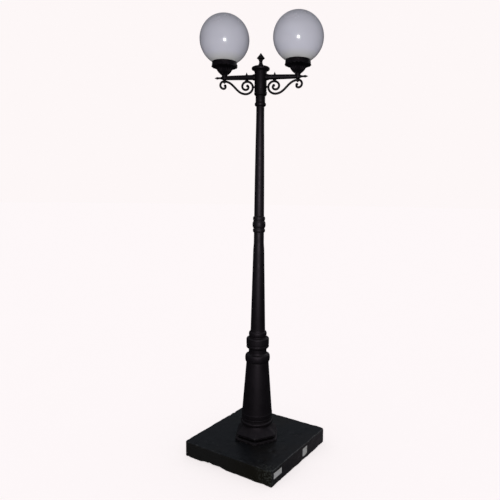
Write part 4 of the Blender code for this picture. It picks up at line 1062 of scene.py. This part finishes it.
def scroll_stations(route):
    """Places along a scroll with the bar's radius there: a bar with a ball on each end."""
    lengths = [0.0]
    for before, after in zip(route, route[1:]):
        lengths.append(lengths[-1] + (after - before).length)
    total = lengths[-1]
    first_way = (route[1] - route[0]).normalized()
    last_way = (route[-1] - route[-2]).normalized()
    cap_steps = 8
    caps = [math.cos(math.pi / 2 * step / cap_steps) for step in range(cap_steps)]
    caps[0] = 0.995
    stations = [(-SCROLL_BALL * c, route[0] - first_way * SCROLL_BALL * c) for c in caps]
    stations += list(zip(lengths, route))
    stations += [(total + SCROLL_BALL * c, route[-1] + last_way * SCROLL_BALL * c) for c in reversed(caps)]
    places = []
    for length, spot in stations:
        inside = 0.0 <= length <= total
        from_ball = min(abs(length), abs(total - length)) if inside else max(-length, length - total)
        swell = math.sqrt(max(SCROLL_BALL**2 - from_ball**2, 0.0))
        places.append((spot, max(SCROLL_BAR, swell) if inside else swell))
    return places


def make_scroll(side_name, side):
    """The scroll bracket: its bar, the stub that joins it to the hub, and the seat of its nut."""
    stations = scroll_stations(scroll_route())
    rings = []
    for index, (spot, radius) in enumerate(stations):
        ahead = stations[min(index + 1, len(stations) - 1)][0]
        behind = stations[max(index - 1, 0)][0]
        way = (ahead - behind).normalized()
        ring = []
        for corner in range(SCROLL_SIDES):
            angle = math.tau * (corner + 0.5) / SCROLL_SIDES
            across = radius * math.cos(angle)
            deep = radius * math.sin(angle)
            ring.append(Vector((side * (spot.x - way.y * across), deep, spot.y + way.x * across)))
        rings.append(ring)
    stub = rod(0.0050, HUB_RADIUS + 0.0005, VOLUTE_CENTRE.x - 0.032, TINY_ROUND)
    stub = moved(stub, place(z=VOLUTE_CENTRE.y - 0.002) @ along_x(side))
    spot_face = 0.0068
    drill = [(0.0, NUT_SEAT - 0.006), (spot_face, NUT_SEAT - 0.006), (spot_face, NUT_SEAT + GAP)]
    drill += [(STUD_HOLE, NUT_SEAT + GAP), (STUD_HOLE, NUT_SEAT + 0.017), (0.0, NUT_SEAT + 0.017)]
    drill = moved(lathe(drill, TINY_ROUND), place(side * CUP_REACH))
    piece(f"scroll_{side_name}", carved(skin(rings, loop=False), [drill], [stub]))


def make_scroll_fixings(side_name, side):
    """The pad under the arm, the pointed stud through the arm, and the cap nut under the cup."""
    name = f"scroll_clip_{side_name}"
    low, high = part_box(name)
    drill = moved(rod(STUD_HOLE, BELOW_ARM, 1.976, HOLE_ROUND), place(side * STUD_REACH))
    piece(name, carved(box(middle(name), high - low, rounding=0.0004), [drill]))
    name = f"scroll_stud_{side_name}"
    bottom, tip = ends(name)
    seat = ARM_HEIGHT + 0.0127
    shank = 0.0022
    outline = [(0.0, bottom), (shank, bottom), (shank, seat), (0.0052, seat), (0.0052, seat + 0.0028, 0.0008)]
    outline += [(0.0034, seat + 0.0042, 0.001), (0.0026, seat + 0.0070, 0.002), (0.0004, tip - 0.0004)]
    turned_piece(name, outline + [(0.0, tip)], 0.0003, TINY_ROUND)
    name = f"arm_nut_{side_name}"
    bottom, tip = ends(name)
    outline = [(0.0, bottom), (0.0034, bottom + 0.0006, 0.0015), (0.0058, NUT_SEAT - 0.0030, 0.001)]
    outline += [(0.0062, NUT_SEAT), (shank, NUT_SEAT), (shank, tip), (0.0, tip)]
    turned_piece(name, outline, 0.0003, TINY_ROUND)


# Cups

LEAVES = 16
CUP_SEGMENTS = LEAVES * 20
CUP_RIM = 0.0628
CUP_RIM_INNER = 0.0612
CUP_LEDGE = 2.0214
# Radii of the cup's stem and of the place where its leaves end under the lip
CUP_STEM = 0.0142
LEAF_LIMITS = (0.0148, 0.0520)
LEAF_PIECE = 0.0012
THUMB_SCREW_HEIGHT = middle("thumb_screw_left_1").z
THUMB_SCREW_ANGLES = (-80.0, 40.0, 160.0)


def leafy(base, lip):
    """How the cup's outside changes with the angle: a round of leaves, hollow between, with curled tips."""

    def leafy_limit(height):
        t = max(0.0, min(1.0, (height - base) / (lip - base)))
        low, high = LEAF_LIMITS
        return low + (high - low) * t**1.4

    def shape(radius, height, angle):
        if radius < CUP_STEM or height > lip or radius < leafy_limit(height):
            return radius, height
        t = (height - base) / (lip - base)
        across = abs((angle * LEAVES / math.tau) % 1.0 - 0.5) * 2.0
        start = min(1.0, t / 0.15)
        body = 1.0 - across**3.0
        rib = math.exp(-((across / 0.16) ** 2))
        hollow = 0.0022 + 0.0040 * t**2
        return radius + start * (hollow * (body - 1.0) + 0.0007 * rib - 0.0004), height

    return shape


def make_cup(side_name, side):
    """The cup: a stem, a bowl wrapped in leaves whose tips stand out, and a banded upright rim."""
    name = f"cup_{side_name}"
    base, top = ends(name)
    lip = 2.021
    chamber = 0.0225
    floor = 1.9837
    bore = 0.0053
    profile = [(CUP_STEM, base), (0.0145, base + 0.0020, 0.001)]
    profile += [(0.0196, 1.9828, 0.003), (0.0262, 1.988, 0.003), (0.0320, 1.994, 0.003)]
    profile += [(0.0362, 2.0005, 0.003), (0.0402, 2.007, 0.003), (0.0470, 2.0126, 0.003)]
    profile += [(0.0590, 2.0165, 0.003), (0.0660, 2.0182, 0.001), (0.0665, 2.0198, 0.001)]
    profile += [(0.0655, lip, 0.001), (0.0644, 2.0225, 0.001), (0.0644, 2.026, 0.001)]
    profile += [(0.0636, 2.0272, 0.0006), (0.0632, 2.035, 0.001)]
    profile += [(0.0626, 2.0365, 0.0006), (CUP_RIM, 2.0405, 0.002)]
    profile += [(CUP_RIM - 0.0003, top, 0.0004), (CUP_RIM_INNER + 0.0008, top, 0.0003)]
    profile += [(CUP_RIM_INNER, top - 0.0020, 0.001), (CUP_RIM_INNER, CUP_LEDGE), (0.0480, CUP_LEDGE)]
    profile += [(0.0440, 2.0155), (0.0335, 2.007), (0.0300, 1.999), (0.0250, 1.9932)]
    profile += [(chamber, 1.9895), (chamber, floor), (bore, floor), (bore, base)]
    profile = softened(profile, 0.0005)
    outline = []
    for start, end in zip(profile, profile[1:]):
        leaved = start.x > CUP_STEM and start.y < lip
        parts = max(1, math.ceil((end - start).length / LEAF_PIECE)) if leaved else 1
        outline += [start.lerp(end, part / parts) for part in range(parts)]
    outline.append(profile[-1])
    mesh = lathe(outline, CUP_SEGMENTS, leafy(base + 0.002, lip + 0.0005))
    lie = place(z=THUMB_SCREW_HEIGHT)
    holes = [moved(rod(0.0028, 0.055, 0.075, HOLE_ROUND), lie @ outward(a)) for a in THUMB_SCREW_ANGLES]
    piece(name, carved(mesh, holes), (side * CUP_REACH, 0, 0))


def make_thumb_screws(side_name, side):
    """Thumb screws with knurled heads."""
    tip = 0.0578
    start = CUP_RIM + 0.0005
    end = start + 0.0075
    shank = 0.0025
    head = 0.0050
    knurls = 18

    def knurl(radius, height, angle):
        if radius < 0.0044 or height < start + 0.0008 or height > end - 0.0010:
            return radius, height
        return radius - 0.0004 * abs(math.sin(knurls * angle / 2)) ** 0.7, height

    outline = [(0.0, tip), (0.0017, tip), (shank, tip + 0.0010), (shank, start), (0.0046, start)]
    outline += [(head, start + 0.0008), (head, start + 0.0012), (head, end - 0.0016), (head, end - 0.0012)]
    outline = softened(outline + [(0.0043, end), (0.0, end)], 0.0002, 2)
    for index, angle in enumerate(THUMB_SCREW_ANGLES):
        mesh = moved(lathe(outline, knurls * 6, knurl), outward(angle))
        piece(f"thumb_screw_{side_name}_{index + 1}", mesh, (side * CUP_REACH, 0, THUMB_SCREW_HEIGHT))


# What is in the cups, and the globes


def make_gasket(side_name):
    """The ring of soft rubber under the globe's neck."""
    name = f"gasket_{side_name}"
    low, high = ends(name)
    outer = 0.0595
    inner = 0.0500
    turned_piece(name, [(outer, low), (outer, high), (inner, high), (inner, low)], 0.0009)


def make_lampholder(side_name):
    """The ceramic lampholder: ribs round its skirt and a rolled mouth."""
    name = f"lampholder_{side_name}"
    low, high = ends(name)
    wide = 0.0195
    waist = wide - 0.0009
    mouth = 0.0140
    floor = 2.006
    step = 1.9903
    outline = [(0.0180, low, 0.002), (wide, low + 0.003, 0.002)]
    for rib in range(3):
        height = low + 0.010 + 0.006 * rib
        outline += [(wide, height), (waist, height + 0.001), (waist, height + 0.002), (wide, height + 0.003)]
    outline += [(wide, high - 0.004, 0.002), (0.0178, high, 0.0015), (mouth, high, 0.001), (mouth, floor)]
    outline += [(0.0028, floor), (0.0028, step), (0.0053, step), (0.0053, low)]
    turned_piece(name, outline, 0.0004)


def make_lamp(side_name):
    """The lamp: a cap with a rolled thread and a contact, and a pear-shaped bulb."""
    name = f"lamp_cap_{side_name}"
    low, high = ends(name)
    thread = 0.0132
    pitch = 0.0034
    outline = [(0.0, low), (0.0045, low + 0.0003, 0.001), (0.0060, low + 0.0020), (0.0100, low + 0.0040)]
    outline.append((0.0118, low + 0.006))
    for turn in range(5):
        height = low + 0.0065 + pitch * turn
        outline += [(thread - 0.0010, height, 0.001), (thread, height + pitch / 2, 0.001)]
    outline += [(thread - 0.0008, high - 0.0015), (thread - 0.0008, high), (0.0, high)]
    turned_piece(name, outline, 0.0004)
    name = f"lamp_bulb_{side_name}"
    low, high = ends(name)
    radius = 0.030
    outline = [(0.0, low), (0.0138, low), (0.0145, low + 0.0010), (0.0152, low + 0.0100, 0.004)]
    outline.append((0.0190, low + 0.0215, 0.006))
    outline += [*arc((0.0, high - radius), radius, -32.0, 88.0, 30), (0.0, high)]
    turned_piece(name, outline, 0.0004)


def make_globe(side_name):
    """The opal globe: a thin moulded ball, open at its neck."""
    name = f"globe_{side_name}"
    low, high = ends(name)
    radius = 0.125
    wall = 0.0025
    neck = 0.0575
    centre = (0.0, high - radius)
    start = -math.degrees(math.acos(neck / radius))
    inner_start = -math.degrees(math.acos((neck - wall) / (radius - wall)))
    outline = [(0.0, high)] + arc(centre, radius, 89.0, start, 110)
    outline += [(neck, low + 0.0015), (neck - 0.0005, low), (neck - wall + 0.0005, low)]
    outline += [(neck - wall, low + 0.0005), *arc(centre, radius - wall, inner_start, 89.0, 70)]
    outline.append((0.0, high - wall))
    axis = middle(name)
    piece(name, lathe([Vector(point) for point in outline], 160), (axis.x, axis.y, 0.0))


# Cap and finial


def make_cap():
    """The mushroom cap: a cavetto under a rolled rim, a domed top with a step, and its plug below."""
    base = ends("hub")[1] + GAP
    low, high = ends("hub_cap")
    plug = HUB_INNER - 0.0008
    inner = 0.0200
    bolt = 0.0035
    outer = [(plug, low, 0.001), (plug, base), (0.0318, base), (0.0322, base + 0.0015, 0.001)]
    outer += [(0.0345, base + 0.0048, 0.003), (0.0405, base + 0.0078, 0.003), (0.0440, base + 0.0098, 0.002)]
    outer += [(0.0457, base + 0.0135, 0.003), (0.0455, base + 0.0185, 0.003), (0.0432, base + 0.0222, 0.003)]
    outer += [(0.0350, base + 0.0258, 0.003), (0.0255, base + 0.0283, 0.003), (0.0180, base + 0.0300, 0.002)]
    outer += [(0.0124, high - 0.0008, 0.001), (0.0118, high), (bolt, high), (bolt, base + 0.0270)]
    outer += [(0.0180, base + 0.0240), (inner, base + 0.0200), (inner, low)]
    turned_piece("hub_cap", outer, 0.0004)


def make_finial():
    """The finial: a base bead, a stem with a ring, and a bud with a sharp waistline."""
    low, high = ends("finial")
    base = low + 0.012
    thread = 0.0028
    outer = [(0.0, low), (thread, low), (thread, base), (0.0120, base), (0.0127, base + 0.0018, 0.001)]
    outer += [(0.0120, base + 0.0038, 0.002), (0.0096, base + 0.0072, 0.003), (0.0087, base + 0.0125, 0.004)]
    outer += [(0.0086, base + 0.0200, 0.002), (0.0104, base + 0.0226, 0.001), (0.0104, base + 0.0242, 0.001)]
    outer += [(0.0128, base + 0.0276, 0.002), (0.0197, base + 0.0328, 0.001), (0.0197, base + 0.0350, 0.001)]
    outer += [(0.0132, base + 0.0425, 0.004), (0.0066, base + 0.0512, 0.004), (0.0024, base + 0.0570, 0.002)]
    outer += [(0.0008, high - 0.0008), (0.0, high)]
    turned_piece("finial", outer, 0.0004, 64)


def finish_kept_nodes():
    """Give the CAD nodes that stay in view the same finishes."""
    for name, thing in frame["nodes"].items():
        thing.data.materials.clear()
        thing.data.materials.append(FINISHES[SLOTS[name]])


# Floor, lights and camera

BACKGROUND = (0.984, 0.930, 0.932)
SOFT_COLOUR = (0.97, 0.97, 1.0)
GLOSS_COLOUR = (0.84, 0.90, 1.0)
FLOOR_GLOW = 0.73
SKY_ABOVE = 0.30
SKY_BELOW = 0.58
WALLS_IN_GLOSS = 0.022
CEILING_IN_GLOSS = 0.22
FLASH_SIZE = 0.026
FLASH_POWER = 48.0
FLASH_AIM = (0.0, 0.0, 4.05)
BACK_PLACE = (1.9, 3.0, 2.6)
BACK_AIM = (0.0, 0.0, 1.2)
BACK_POWER = 15.0
BACK_SIZE = 2.0


def make_stage():
    """A plain pale floor that runs out to the background and glows enough to match it."""
    shape = bmesh.new()
    bmesh.ops.create_circle(shape, cap_ends=True, segments=96, radius=60.0)
    mesh = filled(bpy.data.meshes.new("floor"), shape)
    floor = Nodes("floor_pale")
    tone = floor.patchy((2.0, 3.0), 0.3, 0.7)
    floor.drive(Base_Color=floor.mix(tone, (0.890, 0.845, 0.847), (0.900, 0.855, 0.857)))
    floor.set(Roughness=0.95, Specular_IOR_Level=0.0)
    floor.set(Emission_Color=(*BACKGROUND, 1.0), Emission_Strength=FLOOR_GLOW)
    mesh.materials.append(floor.owner)
    thing = shown("floor", mesh)
    thing.location.z = -0.0004
    thing.visible_diffuse = False
    thing.visible_glossy = False
    return thing


def background(world, colour, strength=None):
    """A background of one colour, as strong as an output says."""
    node = world.add("ShaderNodeBackground")
    node.inputs["Color"].default_value = (*colour, 1.0)
    if strength:
        world.link(strength, node.inputs["Strength"])
    return node.outputs["Background"]


def by_ray(world, kind, others, these):
    """One background for rays of a kind, and another for all others."""
    node = world.add("ShaderNodeMixShader")
    world.link(world.add("ShaderNodeLightPath").outputs[kind], node.inputs["Fac"])
    world.link(others, node.inputs[1])
    world.link(these, node.inputs[2])
    return node.outputs["Shader"]


def make_world():
    """A pale surround, which lights the lamp softly, more from below, and shows only dimly in its gloss."""
    world = Nodes("studio", bpy.data.worlds)
    bpy.context.scene.world = world.owner
    world.tree.nodes.clear()
    up = world.height(world.add("ShaderNodeTexCoord").outputs["Generated"])
    soft = background(world, SOFT_COLOUR, world.ramp(up, -0.5, 0.5, SKY_BELOW, SKY_ABOVE))
    dim = background(world, GLOSS_COLOUR, world.ramp(up, 0.25, 0.50, WALLS_IN_GLOSS, CEILING_IN_GLOSS))
    lit = by_ray(world, "Is Glossy Ray", soft, dim)
    lit = by_ray(world, "Is Camera Ray", lit, background(world, BACKGROUND))
    world.link(lit, world.add("ShaderNodeOutputWorld").inputs["Surface"])


def add_light(name, spot, aim, energy, size):
    """A round soft light at a spot, aimed at a point."""
    light = bpy.data.lights.new(name, "AREA")
    light.energy = energy
    light.shape = "DISK"
    light.size = size
    thing = shown(name, light)
    thing.location = spot
    thing.rotation_mode = "QUATERNION"
    thing.rotation_quaternion = (Vector(aim) - Vector(spot)).to_track_quat("-Z", "Y")
    return thing


def make_lights(floor):
    """A small light just over the camera, and a weak wide one behind that misses the globes."""
    globes = [thing for thing in bpy.data.objects if thing.name.startswith("globe_")]
    flash_place = Vector(CAMERA_PLACE) + Vector((0.0, 0.0, 0.07))
    flash = add_light("flash", flash_place, FLASH_AIM, FLASH_POWER, FLASH_SIZE)
    back = add_light("back", BACK_PLACE, BACK_AIM, BACK_POWER, BACK_SIZE)
    for light, missed in ((flash, [floor]), (back, [floor, *globes])):
        spared = bpy.data.collections.new(f"spared_by_{light.name}")
        light.light_linking.receiver_collection = spared
        for index, thing in enumerate(missed):
            spared.objects.link(thing)
            spared.collection_objects[index].light_linking.link_state = "EXCLUDE"


def make_camera():
    """The camera, turned by pan, pitch and roll about where the photographer stood."""
    level_ahead = Vector((math.sin(CAMERA_PAN), math.cos(CAMERA_PAN), 0.0))
    ahead = math.cos(CAMERA_PITCH) * level_ahead + Vector((0.0, 0.0, math.sin(CAMERA_PITCH)))
    right = Vector((math.cos(CAMERA_PAN), -math.sin(CAMERA_PAN), 0.0))
    up = right.cross(ahead)
    rolled_right = math.cos(CAMERA_ROLL) * right + math.sin(CAMERA_ROLL) * up
    rolled_up = math.cos(CAMERA_ROLL) * up - math.sin(CAMERA_ROLL) * right
    turn = Matrix((rolled_right, rolled_up, -ahead)).transposed().to_4x4()
    data = bpy.data.cameras.new("camera")
    data.lens = CAMERA_LENS
    data.sensor_width = CAMERA_SENSOR
    data.shift_x = CAMERA_SHIFT
    camera = shown("camera", data)
    camera.matrix_world = Matrix.Translation(CAMERA_PLACE) @ turn
    bpy.context.scene.camera = camera


make_camera()
finish_kept_nodes()
for make in (make_slab, make_labels, make_foot, make_lower_shaft, make_lower_collar, make_middle_shaft,
             make_mid_collar, make_upper_shaft, make_head_spigot, make_hub, make_set_screws):
    make()
for side_name, side in SIDES.items():
    for make in (make_arm, make_arm_tip, make_scroll, make_scroll_fixings, make_cup, make_thumb_screws):
        make(side_name, side)
    for make in (make_gasket, make_lampholder, make_lamp, make_globe):
        make(side_name)
make_cap()
make_finial()
make_world()
make_lights(make_stage())
bpy.context.scene.view_settings.view_transform = "Standard"
